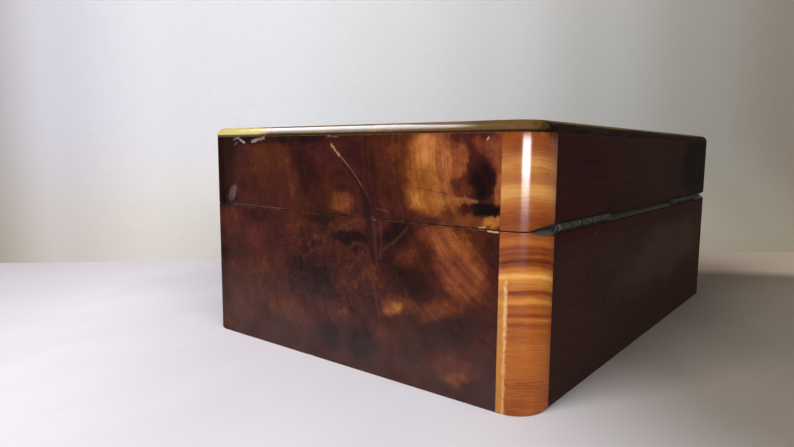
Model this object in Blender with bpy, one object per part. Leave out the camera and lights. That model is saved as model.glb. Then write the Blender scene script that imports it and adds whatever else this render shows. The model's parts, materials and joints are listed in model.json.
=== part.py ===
"""A veneered wooden box with a hinged lid, built the way a cabinet maker builds one.

Metres, +Z up. The origin is the middle of the underside. The front, with the lock, faces -Y,
the back, with the hinges, faces +Y, and the box's length runs along X.
"""

import math

import bmesh
import bpy
from mathutils import Matrix, Vector

for old in list(bpy.data.objects):
    bpy.data.objects.remove(old)

# The case as a whole
CASE_LENGTH = 0.305
CASE_DEPTH = 0.216
SEAM_HEIGHT = 0.0775
LID_HEIGHT = 0.045
WALL = 0.010
CORNER_RADIUS = 0.014
CORNER_STEPS = 12

# Arrises that turn by more than this stay sharp
SHARP_DEGREES = 40

# Clearances: glued pieces stand a hair apart, and the lid stands a saw cut above the base
GLUE_GAP = 0.0003
SEAM_GAP = 0.0005
OVERRUN = 0.004
MERGE_DISTANCE = 0.000001

# Boards and veneers
BOTTOM_THICKNESS = 0.007
TOP_THICKNESS = 0.007
VENEER = 0.001
STRIP_FLAT_LONG = 0.0045
STRIP_FLAT_SHORT = 0.0015

# The rounded banding round the top edge of the lid
BAND_WIDTH = 0.010
BAND_HEIGHT = 0.005
BAND_ROUND = 0.0045
BAND_STEPS = 7

# Lining of coloured paper on card
LINING = 0.0008
LINING_BELOW_RIM = 0.0025

# The bevelled groove along the hinge side
GROOVE_HALF_HEIGHT = 0.00275
GROOVE_PAST_PIN = 0.0024

# Butt hinges
HINGE_LENGTH = 0.0635
HINGE_FROM_RIGHT = 0.0235
HINGE_FROM_LEFT = 0.036
KNUCKLE_COUNT = 5
KNUCKLE_RADIUS = 0.0021
KNUCKLE_SETBACK = 0.0002
KNUCKLE_GAP = 0.0003
KNUCKLE_SIDES = 24
PIN_RADIUS = 0.0009
PIN_CLEARANCE = 0.0001
PIN_PROUD = 0.0003
PIN_BEVEL = 0.0002
BARREL_ROOM = 0.0008
LEAF_THICKNESS = 0.0012
LEAF_MARGIN = 0.0007
HINGE_SCREW_SPACING = 0.023

# Countersunk screws
SCREW_HEAD_RADIUS = 0.0018
SCREW_HEAD_HEIGHT = 0.0009
SCREW_SHANK_RADIUS = 0.0009
SCREW_LENGTH = 0.0055
SCREW_TIP = 0.0015
SCREW_SIDES = 12
SLOT_WIDTH = 0.0005
SLOT_DEPTH = 0.0004

# The box lock in the front wall
LOCK_HALF_LENGTH = 0.024
LOCK_PLATE = 0.0012
SELVEDGE = 0.0015
LOCK_PLATE_HEIGHT = 0.0238
LOCK_CASE_HALF_LENGTH = 0.018
LOCK_CASE_DEPTH = 0.005
LOCK_CASE_HEIGHT = 0.020
LOCK_CASE_WALL = 0.0006
LOCK_SCREW_INSET = 0.003
LOCK_SCREW_RISE = 0.004
KEYHOLE_DROP = 0.0155
KEYHOLE_RADIUS = 0.002
KEYHOLE_SLOT = 0.0009
KEYHOLE_SLOT_FLARE = 0.0012
KEYHOLE_TAIL = 0.0055
KEYHOLE_STEPS = 14
ESCUTCHEON_RIM = 0.0013
DRILL_PIN_RADIUS = 0.0008
DRILL_PIN_LENGTH = 0.0038

# The bolt, and the link plate whose two lugs it passes through
LUG_SPACING = 0.018
LUG_THICKNESS = 0.0016
LUG_WIDTH = 0.0034
LUG_LENGTH = 0.007
LUG_CLEARANCE = 0.0004
EYE_WIDTH = 0.0018
EYE_HEIGHT = 0.0022
EYE_RISE = 0.0014
HORN_WIDTH = 0.0012
HORN_HEIGHT = 0.0016
HORN_LENGTH = 0.0039
HORN_CLEARANCE = 0.0005
POST_WIDTH = 0.002
BOLT_BELOW_LUG = 0.0006
BOLT_HEIGHT = 0.003
BOLT_TRAVEL = 0.004
TALON_HALF_WIDTH = 0.0025
TALON_DEPTH = 0.0014
LEDGE_HEIGHT = 0.0007
LEDGE_REACH = 0.006
SPRING_HALF_LENGTH = 0.003
SPRING_SHIFT = 0.0022
SPRING_THICKNESS = 0.0004
SPRING_WIDTH = 0.003
SPRING_STEPS = 6
LINK_HALF_LENGTH = 0.0155
LINK_SCREW_INSET = 0.0024
LINK_MARGIN = 0.0007

# Levels worked out from the sizes above
TOTAL_HEIGHT = SEAM_HEIGHT + LID_HEIGHT
HALF_LENGTH = CASE_LENGTH / 2
HALF_DEPTH = CASE_DEPTH / 2
SKIN = VENEER + GLUE_GAP
BASE_RIM = SEAM_HEIGHT - SEAM_GAP / 2
LID_RIM = SEAM_HEIGHT + SEAM_GAP / 2
BAND_FOOT = TOTAL_HEIGHT - BAND_HEIGHT
TOP_BOARD_UPPER = TOTAL_HEIGHT - SKIN
TOP_BOARD_LOWER = TOP_BOARD_UPPER - TOP_THICKNESS
LID_WALL_TOP = TOP_BOARD_LOWER - GLUE_GAP
BASE_WALL_FOOT = BOTTOM_THICKNESS + GLUE_GAP
INNER_HALF_LENGTH = HALF_LENGTH - WALL
INNER_HALF_DEPTH = HALF_DEPTH - WALL
PIN_INSET = KNUCKLE_RADIUS + KNUCKLE_SETBACK
PIN_Y = HALF_DEPTH - PIN_INSET
GROOVE_DEPTH = PIN_INSET + GROOVE_PAST_PIN


# Materials


def finish(name, colour, roughness, metallic=0.0):
    """A plain Principled material."""
    made = bpy.data.materials.new(name)
    made.use_nodes = True
    shader = made.node_tree.nodes["Principled BSDF"]
    shader.inputs["Base Color"].default_value = (*colour, 1.0)
    shader.inputs["Roughness"].default_value = roughness
    shader.inputs["Metallic"].default_value = metallic
    return made


FLAME_WALNUT = finish("flame_walnut", (0.105, 0.028, 0.010), 0.2)
DARK_ROSEWOOD = finish("dark_rosewood", (0.030, 0.013, 0.010), 0.3)
HONEY_BANDING = finish("honey_banding", (0.50, 0.19, 0.045), 0.2)
CARCASE_MAHOGANY = finish("carcase_mahogany", (0.17, 0.06, 0.028), 0.55)
AGED_BRASS = finish("aged_brass", (0.20, 0.17, 0.09), 0.45, 1.0)
LOCK_STEEL = finish("lock_steel", (0.25, 0.24, 0.22), 0.4, 1.0)
LINING_PAPER = finish("lining_paper", (0.05, 0.085, 0.13), 0.85)


# Modelling helpers


def add_object(name, mesh, material=None, parent=None):
    """Links a mesh as an object, and hangs it on a parent without moving it."""
    made = bpy.data.objects.new(name, mesh)
    bpy.context.scene.collection.objects.link(made)
    if material is not None:
        mesh.materials.append(material)
    if parent is not None:
        made.parent = parent
        made.matrix_parent_inverse = parent.matrix_world.inverted()
    return made


def finished_mesh(name, shape):
    """Writes a closed bmesh with its faces turned outwards to a new mesh."""
    bmesh.ops.recalc_face_normals(shape, faces=shape.faces)
    mesh = bpy.data.meshes.new(name)
    shape.to_mesh(mesh)
    shape.free()
    return mesh


# How an outline's two coordinates and the extrusion lie along X, Y and Z
PLANES = {
    "X": lambda a, b, c: (c, a, b),
    "Y": lambda a, b, c: (a, c, b),
    "Z": lambda a, b, c: (a, b, c),
}


def prism_bmesh(outline, low, high, along="Z"):
    """A closed outline, extruded from low to high along an axis."""
    place = PLANES[along]
    shape = bmesh.new()
    rim = [shape.verts.new(place(a, b, low)) for a, b in outline]
    face = shape.faces.new(rim)
    raised = bmesh.ops.extrude_face_region(shape, geom=[face])
    corners = [v for v in raised["geom"] if isinstance(v, bmesh.types.BMVert)]
    bmesh.ops.translate(shape, verts=corners, vec=Vector(place(0, 0, high - low)))
    return shape


def prism(name, outline, low, high, along="Z", material=None, parent=None):
    """An object made of one extruded outline."""
    return add_object(name, finished_mesh(name, prism_bmesh(outline, low, high, along)), material, parent)


def rectangle(low_a, high_a, low_b, high_b):
    """The corners of a rectangle, anticlockwise."""
    return [(low_a, low_b), (high_a, low_b), (high_a, high_b), (low_a, high_b)]


def block(name, x_range, y_range, z_range, material=None, parent=None):
    """A square-edged block between two corners."""
    return prism(name, rectangle(*x_range, *y_range), *z_range, "Z", material, parent)


def arc(centre_a, centre_b, radius, start, end, steps):
    """Points on an arc, both ends included."""
    return [
        (
            centre_a + radius * math.cos(start + (end - start) * i / steps),
            centre_b + radius * math.sin(start + (end - start) * i / steps),
        )
        for i in range(steps + 1)
    ]


def circle(centre_a, centre_b, radius, sides):
    """Points round a circle."""
    return arc(centre_a, centre_b, radius, 0, 2 * math.pi, sides)[:-1]


def rounded_rectangle(half_a, half_b, radius, steps):
    """The outline of a rectangle with round corners, anticlockwise."""
    points = []
    for quarter, (sign_a, sign_b) in enumerate([(1, 1), (-1, 1), (-1, -1), (1, -1)]):
        start = quarter * math.pi / 2
        centre_a = sign_a * (half_a - radius)
        centre_b = sign_b * (half_b - radius)
        points += arc(centre_a, centre_b, radius, start, start + math.pi / 2, steps)
    return points


def turned_bmesh(profile, sides):
    """A solid of revolution about Z from (radius, height) points that start and end on the axis."""
    shape = bmesh.new()
    verts = [shape.verts.new((radius, 0, height)) for radius, height in profile]
    edges = [shape.edges.new(pair) for pair in zip(verts, verts[1:])]
    bmesh.ops.spin(
        shape, geom=verts + edges, axis=(0, 0, 1), cent=(0, 0, 0), angle=2 * math.pi, steps=sides
    )
    bmesh.ops.remove_doubles(shape, verts=shape.verts, dist=MERGE_DISTANCE)
    return shape


def hide_as_tool(shape):
    """Marks an object as a cutter or guide, which isn't part of the box."""
    shape.hide_render = True
    shape.display_type = "WIRE"
    return shape


def change(target, tool, operation):
    """Adds a Boolean that cuts, joins or trims target with tool."""
    modifier = target.modifiers.new(tool.name, "BOOLEAN")
    modifier.operation = operation
    modifier.object = hide_as_tool(tool)


def cut(targets, *tools):
    """Cuts every tool from every target."""
    for target in targets:
        for tool in tools:
            change(target, tool, "DIFFERENCE")


def gather(name, shapes):
    """Puts several separate bodies, given as bmeshes, in one tool."""
    whole = bmesh.new()
    for shape in shapes:
        bmesh.ops.recalc_face_normals(shape, faces=shape.faces)
        piece = bpy.data.meshes.new(name)
        shape.to_mesh(piece)
        shape.free()
        whole.from_mesh(piece)
        bpy.data.meshes.remove(piece)
    mesh = bpy.data.meshes.new(name)
    whole.to_mesh(mesh)
    whole.free()
    return add_object(name, mesh)


def soften(target):
    """Shades the round faces smooth and keeps the arrises sharp."""
    target.data.shade_smooth()
    target.data.set_sharp_from_angle(angle=math.radians(SHARP_DEGREES))


# The joints' axes


def axis_empty(name, location):
    """An empty on a joint's axis, which carries the pieces that move."""
    made = bpy.data.objects.new(name, None)
    bpy.context.scene.collection.objects.link(made)
    made.location = location
    bpy.context.view_layer.update()
    return made


LID_AXIS = axis_empty("lid_axis", (0, PIN_Y, SEAM_HEIGHT))
BOLT_AXIS = axis_empty("bolt_axis", (0, -INNER_HALF_DEPTH, SEAM_HEIGHT))

# The carcase: a bottom board and a top board, with four walls on each

CORE_OUTLINE = rounded_rectangle(
    HALF_LENGTH - SKIN, HALF_DEPTH - SKIN, CORNER_RADIUS - SKIN, CORNER_STEPS
)
core = prism("core_guide", CORE_OUTLINE, -OVERRUN, TOTAL_HEIGHT + OVERRUN)


def carcase_walls(prefix, low, high, parent=None):
    """Four walls whose outer corners follow the round corners of the case."""
    side_half = INNER_HALF_DEPTH - GLUE_GAP
    reach_x = HALF_LENGTH + OVERRUN
    reach_y = HALF_DEPTH + OVERRUN
    places = {
        "front": ((-reach_x, reach_x), (-reach_y, -INNER_HALF_DEPTH)),
        "back": ((-reach_x, reach_x), (INNER_HALF_DEPTH, reach_y)),
        "left": ((-reach_x, -INNER_HALF_LENGTH), (-side_half, side_half)),
        "right": ((INNER_HALF_LENGTH, reach_x), (-side_half, side_half)),
    }
    walls = {}
    for side, (x_range, y_range) in places.items():
        wall = block(f"{prefix}_{side}_wall", x_range, y_range, (low, high), CARCASE_MAHOGANY, parent)
        change(wall, core, "INTERSECT")
        walls[side] = wall
    return walls


base_walls = carcase_walls("base", BASE_WALL_FOOT, BASE_RIM)
lid_walls = carcase_walls("lid", LID_RIM, LID_WALL_TOP, LID_AXIS)

prism("bottom_board", CORE_OUTLINE, 0, BOTTOM_THICKNESS, "Z", CARCASE_MAHOGANY)

top_board = prism(
    "top_board", CORE_OUTLINE, TOP_BOARD_LOWER, TOP_BOARD_UPPER, "Z", CARCASE_MAHOGANY, LID_AXIS
)


# Veneers on the four sides of the base and of the lid, and on the top

SIDE_VENEERS = {
    "front": (HALF_LENGTH - CORNER_RADIUS - STRIP_FLAT_LONG, -1, FLAME_WALNUT),
    "back": (HALF_LENGTH - CORNER_RADIUS - STRIP_FLAT_LONG, 1, DARK_ROSEWOOD),
    "left": (HALF_DEPTH - CORNER_RADIUS - STRIP_FLAT_SHORT, -1, FLAME_WALNUT),
    "right": (HALF_DEPTH - CORNER_RADIUS - STRIP_FLAT_SHORT, 1, FLAME_WALNUT),
}


def side_veneers(prefix, low, high, parent=None):
    """Four sheets of veneer that stop short of the corner strips."""
    sheets = {}
    for side, (half_width, sign, wood) in SIDE_VENEERS.items():
        across = (-half_width + GLUE_GAP / 2, half_width - GLUE_GAP / 2)
        outer = HALF_DEPTH if side in ("front", "back") else HALF_LENGTH
        through = sorted((sign * outer, sign * (outer - VENEER)))
        name = f"{prefix}_{side}_veneer"
        if side in ("front", "back"):
            sheets[side] = block(name, across, through, (low, high), wood, parent)
        else:
            sheets[side] = block(name, through, across, (low, high), wood, parent)
    return sheets


base_veneers = side_veneers("base", GLUE_GAP, BASE_RIM)
lid_veneers = side_veneers("lid", LID_RIM, BAND_FOOT - GLUE_GAP, LID_AXIS)


# Corner strips, bent round the four corners with their grain across


def corner_outline(sign_x, sign_y):
    """The plan of one corner strip: a flat, a quarter round and a flat, one veneer thick."""
    edge_x = HALF_LENGTH - CORNER_RADIUS
    edge_y = HALF_DEPTH - CORNER_RADIUS
    flat_x = edge_x - STRIP_FLAT_LONG + GLUE_GAP / 2
    flat_y = edge_y - STRIP_FLAT_SHORT + GLUE_GAP / 2
    outer = arc(edge_x, edge_y, CORNER_RADIUS, 0, math.pi / 2, CORNER_STEPS)
    inner = arc(edge_x, edge_y, CORNER_RADIUS - VENEER, math.pi / 2, 0, CORNER_STEPS)
    plan = [(HALF_LENGTH, flat_y), *outer, (flat_x, HALF_DEPTH)]
    plan += [(flat_x, HALF_DEPTH - VENEER), *inner, (HALF_LENGTH - VENEER, flat_y)]
    return [(sign_x * x, sign_y * y) for x, y in plan]


# Only the back right corner is banded in pale wood; the others match the faces beside them
CORNERS = {
    "front_left": (-1, -1, FLAME_WALNUT),
    "front_right": (1, -1, FLAME_WALNUT),
    "back_left": (-1, 1, DARK_ROSEWOOD),
    "back_right": (1, 1, HONEY_BANDING),
}
base_strips = {}
lid_strips = {}
for corner, (sign_x, sign_y, wood) in CORNERS.items():
    plan = corner_outline(sign_x, sign_y)
    base_strips[corner] = prism(f"base_{corner}_strip", plan, GLUE_GAP, BASE_RIM, "Z", wood)
    lid_strips[corner] = prism(
        f"lid_{corner}_strip", plan, LID_RIM, BAND_FOOT - GLUE_GAP, "Z", wood, LID_AXIS
    )
for strip in [*base_strips.values(), *lid_strips.values()]:
    soften(strip)


# The rounded banding round the top edge


def ring(name, plans_and_levels):
    """A closed ring skinned over a loop of outlines, each with its level."""
    shape = bmesh.new()
    rings = [
        [shape.verts.new((x, y, level)) for x, y in outline] for outline, level in plans_and_levels
    ]
    for lower, upper in zip(rings, rings[1:] + rings[:1]):
        for i, vertex in enumerate(lower):
            following = (i + 1) % len(lower)
            shape.faces.new((vertex, lower[following], upper[following], upper[i]))
    return finished_mesh(name, shape)


def inset_outline(inset):
    """The case's plan, moved inwards all round."""
    return rounded_rectangle(
        HALF_LENGTH - inset, HALF_DEPTH - inset, CORNER_RADIUS - inset, CORNER_STEPS
    )


band_section = [(BAND_WIDTH, 0), (0, 0)]
band_section += [
    (BAND_ROUND - a, BAND_HEIGHT - BAND_ROUND + b)
    for a, b in arc(0, 0, BAND_ROUND, 0, math.pi / 2, BAND_STEPS)
]
band_section.append((BAND_WIDTH, BAND_HEIGHT))
banding = add_object(
    "lid_top_banding",
    ring("lid_top_banding", [(inset_outline(a), BAND_FOOT + b) for a, b in band_section]),
    HONEY_BANDING,
    LID_AXIS,
)
soften(banding)

FIELD_OUTLINE = inset_outline(BAND_WIDTH + GLUE_GAP)
CLEAR_OUTLINE = inset_outline(-OVERRUN)
rebate_foot, rebate_top = BAND_FOOT - GLUE_GAP, TOTAL_HEIGHT + OVERRUN
rebate = add_object(
    "rebate_guide",
    ring(
        "rebate_guide",
        [
            (CLEAR_OUTLINE, rebate_foot),
            (FIELD_OUTLINE, rebate_foot),
            (FIELD_OUTLINE, rebate_top),
            (CLEAR_OUTLINE, rebate_top),
        ],
    ),
)
cut([top_board], rebate)
prism(
    "lid_top_veneer", FIELD_OUTLINE, TOTAL_HEIGHT - VENEER, TOTAL_HEIGHT, "Z", FLAME_WALNUT, LID_AXIS
)


# The bevelled groove along the back, which lets the lid swing past upright

GROOVE_SLOPE = GROOVE_HALF_HEIGHT / GROOVE_DEPTH
groove_mouth = GROOVE_HALF_HEIGHT + OVERRUN * GROOVE_SLOPE
groove = prism(
    "groove_guide",
    [
        (HALF_DEPTH - GROOVE_DEPTH, SEAM_HEIGHT),
        (HALF_DEPTH + OVERRUN, SEAM_HEIGHT - groove_mouth),
        (HALF_DEPTH + OVERRUN, SEAM_HEIGHT + groove_mouth),
    ],
    -HALF_LENGTH - OVERRUN,
    HALF_LENGTH + OVERRUN,
    "X",
)
backs = [base_walls["back"], lid_walls["back"], base_veneers["back"], lid_veneers["back"]]
for corner in ("back_left", "back_right"):
    backs += [base_strips[corner], lid_strips[corner]]
cut(backs, groove)


# Screws, and the countersunk holes that they sit in


def screw_profile(extra=0.0):
    """Half of a screw's outline, its head's face at height 0 and its point down."""
    shank = SCREW_SHANK_RADIUS + extra
    head = SCREW_HEAD_RADIUS + extra
    end = -SCREW_LENGTH - extra
    return [
        (0, 0),
        (head, 0),
        (shank, -SCREW_HEAD_HEIGHT),
        (shank, end + SCREW_TIP),
        (0, end),
    ]


def hole_profile():
    """The same outline with clearance, run on above the head so that it cuts right through."""
    profile = screw_profile(GLUE_GAP)
    return [(0, OVERRUN), (profile[1][0], OVERRUN), *profile[1:]]


def screw_mesh():
    """One slotted screw as a finished mesh."""
    body = add_object(
        "screw_guide", finished_mesh("screw", turned_bmesh(screw_profile(), SCREW_SIDES)), AGED_BRASS
    )
    slot = block(
        "slot_guide",
        (-SCREW_HEAD_RADIUS - OVERRUN, SCREW_HEAD_RADIUS + OVERRUN),
        (-SLOT_WIDTH / 2, SLOT_WIDTH / 2),
        (-SLOT_DEPTH, OVERRUN),
    )
    change(body, slot, "DIFFERENCE")
    bpy.context.view_layer.update()
    cut_body = body.evaluated_get(bpy.context.evaluated_depsgraph_get())
    mesh = bpy.data.meshes.new_from_object(cut_body)
    bpy.data.objects.remove(body)
    bpy.data.objects.remove(slot)
    return mesh


SCREW = screw_mesh()
POINT_DOWN = Matrix.Identity(4)
POINT_UP = Matrix.Rotation(math.pi, 4, "X")
POINT_FRONT = Matrix.Rotation(-math.pi / 2, 4, "X")


def screws(name, places, turn, parent=None):
    """Identical screws with their heads' faces at the given places."""
    for number, place in enumerate(places, 1):
        screw = add_object(f"{name}_{number}", SCREW)
        screw.matrix_world = Matrix.Translation(place) @ turn
        if parent is not None:
            screw.parent = parent
            screw.matrix_parent_inverse = parent.matrix_world.inverted()


def screw_holes(name, places, turn):
    """The tool that cuts the holes for those screws."""
    shapes = []
    for place in places:
        shape = turned_bmesh(hole_profile(), SCREW_SIDES)
        bmesh.ops.transform(shape, matrix=Matrix.Translation(place) @ turn, verts=shape.verts)
        shapes.append(shape)
    return gather(name, shapes)


# Hinges

LEAF_WIDTH = WALL - PIN_INSET - LEAF_MARGIN
NOTCH_RADIUS = KNUCKLE_RADIUS + KNUCKLE_GAP
LEAF_SCREW_Y = PIN_Y - (NOTCH_RADIUS + LEAF_WIDTH) / 2


def rod(name, x_spans, radius):
    """Lengths of round rod on the hinge pin's line, as one tool."""
    shapes = [
        prism_bmesh(circle(PIN_Y, SEAM_HEIGHT, radius, KNUCKLE_SIDES), low, high, "X")
        for low, high in x_spans
    ]
    return gather(name, shapes)


def knuckle_spans(x_centre, wanted, slack):
    """The lengths along X of every second knuckle, each shorter by slack."""
    pitch = HINGE_LENGTH / KNUCKLE_COUNT
    start = x_centre - HINGE_LENGTH / 2
    return [
        (start + i * pitch + slack / 2, start + (i + 1) * pitch - slack / 2)
        for i in range(wanted, KNUCKLE_COUNT, 2)
    ]


def leaf_places(x_centre, level):
    """Where one leaf's three screws sit."""
    return [
        Vector((x_centre + i * HINGE_SCREW_SPACING, LEAF_SCREW_Y, level)) for i in (-1, 0, 1)
    ]


def hinge_leaf(name, x_centre, own, rim, outwards, parent=None):
    """One leaf, let in flush with its rim, with its own knuckles on the pin's line."""
    face, back = rim, rim + outwards * LEAF_THICKNESS
    half = HINGE_LENGTH / 2
    leaf = block(
        name,
        (x_centre - half, x_centre + half),
        (PIN_Y - LEAF_WIDTH, PIN_Y),
        sorted((face, back)),
        AGED_BRASS,
        parent,
    )
    notches = rod(f"{name}_notch_guide", knuckle_spans(x_centre, 1 - own, -KNUCKLE_GAP), NOTCH_RADIUS)
    knuckles = rod(f"{name}_knuckle_guide", knuckle_spans(x_centre, own, KNUCKLE_GAP), KNUCKLE_RADIUS)
    bore = rod(
        f"{name}_bore_guide",
        [(x_centre - half - OVERRUN, x_centre + half + OVERRUN)],
        PIN_RADIUS + PIN_CLEARANCE,
    )
    cut([leaf], notches)
    change(leaf, knuckles, "UNION")
    cut([leaf], bore)
    soften(leaf)
    return leaf


def hinge(side, x_centre):
    """A pair of leaves, their pin, their screws and the recesses that they sit in."""
    half = HINGE_LENGTH / 2
    base_leaf = hinge_leaf(f"{side}_hinge_base_leaf", x_centre, 0, BASE_RIM, -1)
    lid_leaf = hinge_leaf(f"{side}_hinge_lid_leaf", x_centre, 1, LID_RIM, 1, LID_AXIS)
    pin = prism(
        f"{side}_hinge_pin",
        circle(PIN_Y, SEAM_HEIGHT, PIN_RADIUS, KNUCKLE_SIDES),
        x_centre - half - PIN_PROUD,
        x_centre + half + PIN_PROUD,
        "X",
        AGED_BRASS,
    )
    round_ends = pin.modifiers.new("round_ends", "BEVEL")
    round_ends.width = PIN_BEVEL
    round_ends.segments = 2
    round_ends.angle_limit = math.radians(SHARP_DEGREES)
    soften(pin)

    barrel = rod(
        f"{side}_barrel_guide",
        [(x_centre - half - BARREL_ROOM, x_centre + half + BARREL_ROOM)],
        NOTCH_RADIUS,
    )
    deep = LEAF_THICKNESS + GLUE_GAP
    recess_x = (x_centre - half - GLUE_GAP, x_centre + half + GLUE_GAP)
    recess_y = (PIN_Y - LEAF_WIDTH - GLUE_GAP, HALF_DEPTH - VENEER)
    base_recess = block(
        f"{side}_base_recess_guide", recess_x, recess_y, (BASE_RIM - deep, SEAM_HEIGHT)
    )
    lid_recess = block(
        f"{side}_lid_recess_guide", recess_x, recess_y, (SEAM_HEIGHT, LID_RIM + deep)
    )
    base_holes = screw_holes(f"{side}_base_holes_guide", leaf_places(x_centre, BASE_RIM), POINT_DOWN)
    lid_holes = screw_holes(f"{side}_lid_holes_guide", leaf_places(x_centre, LID_RIM), POINT_UP)
    cut([base_leaf, base_walls["back"]], base_holes)
    cut([lid_leaf, lid_walls["back"]], lid_holes)
    cut([base_walls["back"]], base_recess, barrel)
    cut([lid_walls["back"]], lid_recess, barrel)
    cut([base_veneers["back"], lid_veneers["back"]], barrel)


HINGES = {
    "left": HINGE_FROM_LEFT + HINGE_LENGTH / 2 - HALF_LENGTH,
    "right": HALF_LENGTH - HINGE_FROM_RIGHT - HINGE_LENGTH / 2,
}
for side, x_centre in HINGES.items():
    hinge(side, x_centre)
    screws(f"{side}_hinge_base_screw", leaf_places(x_centre, BASE_RIM), POINT_DOWN)
    screws(f"{side}_hinge_lid_screw", leaf_places(x_centre, LID_RIM), POINT_UP, LID_AXIS)


# The lock in the middle of the front wall

LOCK_BACK = -INNER_HALF_DEPTH
LOCK_PLATE_FRONT = LOCK_BACK - LOCK_PLATE
CASE_BACK = LOCK_PLATE_FRONT - GLUE_GAP
CASE_FRONT = CASE_BACK - LOCK_CASE_DEPTH
SELVEDGE_FOOT = BASE_RIM - SELVEDGE
CASE_TOP = SELVEDGE_FOOT - GLUE_GAP
CASE_FOOT = CASE_TOP - LOCK_CASE_HEIGHT
PLATE_FOOT = BASE_RIM - LOCK_PLATE_HEIGHT
BAY_FRONT = CASE_FRONT + LOCK_CASE_WALL
LUG_Y = (BAY_FRONT + CASE_BACK) / 2
KEY_Z = BASE_RIM - KEYHOLE_DROP
LUG_XS = (-LUG_SPACING / 2, LUG_SPACING / 2)
LOCK_SCREW_X = LOCK_HALF_LENGTH - LOCK_SCREW_INSET
rim_places = [Vector((x, LUG_Y, BASE_RIM)) for x in (-LOCK_SCREW_X, LOCK_SCREW_X)]
plate_places = [
    Vector((x, LOCK_BACK, PLATE_FOOT + LOCK_SCREW_RISE)) for x in (-LOCK_SCREW_X, LOCK_SCREW_X)
]


def keyhole_outline(grow=0.0):
    """A round hole with a flared slot below it, grown all round by a margin."""
    radius = KEYHOLE_RADIUS + grow
    slot = KEYHOLE_SLOT + grow
    flare = KEYHOLE_SLOT_FLARE + grow
    lean = math.asin(slot / radius)
    points = arc(0, KEY_Z, radius, lean - math.pi / 2, 3 * math.pi / 2 - lean, KEYHOLE_STEPS)
    foot = KEY_Z - KEYHOLE_TAIL - grow
    return [*points, (-flare, foot), (flare, foot)]


lock_plate = prism(
    "lock_plate",
    [
        (LOCK_BACK, PLATE_FOOT),
        (LOCK_BACK, BASE_RIM),
        (CASE_FRONT, BASE_RIM),
        (CASE_FRONT, SELVEDGE_FOOT),
        (LOCK_PLATE_FRONT, SELVEDGE_FOOT),
        (LOCK_PLATE_FRONT, PLATE_FOOT),
    ],
    -LOCK_HALF_LENGTH,
    LOCK_HALF_LENGTH,
    "X",
    AGED_BRASS,
)
drill_pin = prism(
    "drill_pin_guide",
    circle(0, KEY_Z, DRILL_PIN_RADIUS, SCREW_SIDES),
    LOCK_PLATE_FRONT - DRILL_PIN_LENGTH,
    LOCK_PLATE_FRONT + LOCK_PLATE / 2,
    "Y",
)
change(lock_plate, drill_pin, "UNION")
lug_slots = gather(
    "lug_slots_guide",
    [
        prism_bmesh(
            rectangle(
                x - LUG_THICKNESS / 2 - LUG_CLEARANCE,
                x + LUG_THICKNESS / 2 + LUG_CLEARANCE,
                LUG_Y - LUG_WIDTH / 2 - LUG_CLEARANCE,
                LUG_Y + LUG_WIDTH / 2 + LUG_CLEARANCE,
            ),
            SELVEDGE_FOOT - GLUE_GAP / 2,
            BASE_RIM + OVERRUN,
        )
        for x in LUG_XS
    ],
)
rim_holes = screw_holes("rim_holes_guide", rim_places, POINT_DOWN)
plate_holes = screw_holes("plate_holes_guide", plate_places, POINT_FRONT)
cut([lock_plate], lug_slots, rim_holes, plate_holes)
screws("lock_rim_screw", rim_places, POINT_DOWN)
screws("lock_plate_screw", plate_places, POINT_FRONT)

# The lock's case is a tray, open at its back and top, with a ledge at each end for the bolt
BOLT_TOP = BASE_RIM + SEAM_GAP - LUG_LENGTH - BOLT_BELOW_LUG
BOLT_FOOT = BOLT_TOP - BOLT_HEIGHT
BAY_HALF_LENGTH = LOCK_CASE_HALF_LENGTH - LOCK_CASE_WALL
LEDGE_TOP = BOLT_FOOT - GLUE_GAP
LEDGE_ROOT = BAY_HALF_LENGTH + LOCK_CASE_WALL / 2
LEDGE_END = BAY_HALF_LENGTH - LEDGE_REACH
lock_case = block(
    "lock_case",
    (-LOCK_CASE_HALF_LENGTH, LOCK_CASE_HALF_LENGTH),
    (CASE_FRONT, CASE_BACK),
    (CASE_FOOT, CASE_TOP),
    LOCK_STEEL,
)
bay = block(
    "bay_guide",
    (-BAY_HALF_LENGTH, BAY_HALF_LENGTH),
    (BAY_FRONT, CASE_BACK + OVERRUN),
    (CASE_FOOT + LOCK_CASE_WALL, CASE_TOP + OVERRUN),
)
ledges = gather(
    "ledges_guide",
    [
        prism_bmesh(
            rectangle(
                min(side * LEDGE_ROOT, side * LEDGE_END),
                max(side * LEDGE_ROOT, side * LEDGE_END),
                BAY_FRONT - LOCK_CASE_WALL / 2,
                CASE_BACK,
            ),
            LEDGE_TOP - LEDGE_HEIGHT,
            LEDGE_TOP,
        )
        for side in (-1, 1)
    ],
)
cut([lock_case], bay)
change(lock_case, ledges, "UNION")
keyhole = prism("keyhole_guide", keyhole_outline(), -HALF_DEPTH - OVERRUN, LUG_Y, "Y")
cut([lock_case, base_walls["front"]], keyhole)


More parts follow.
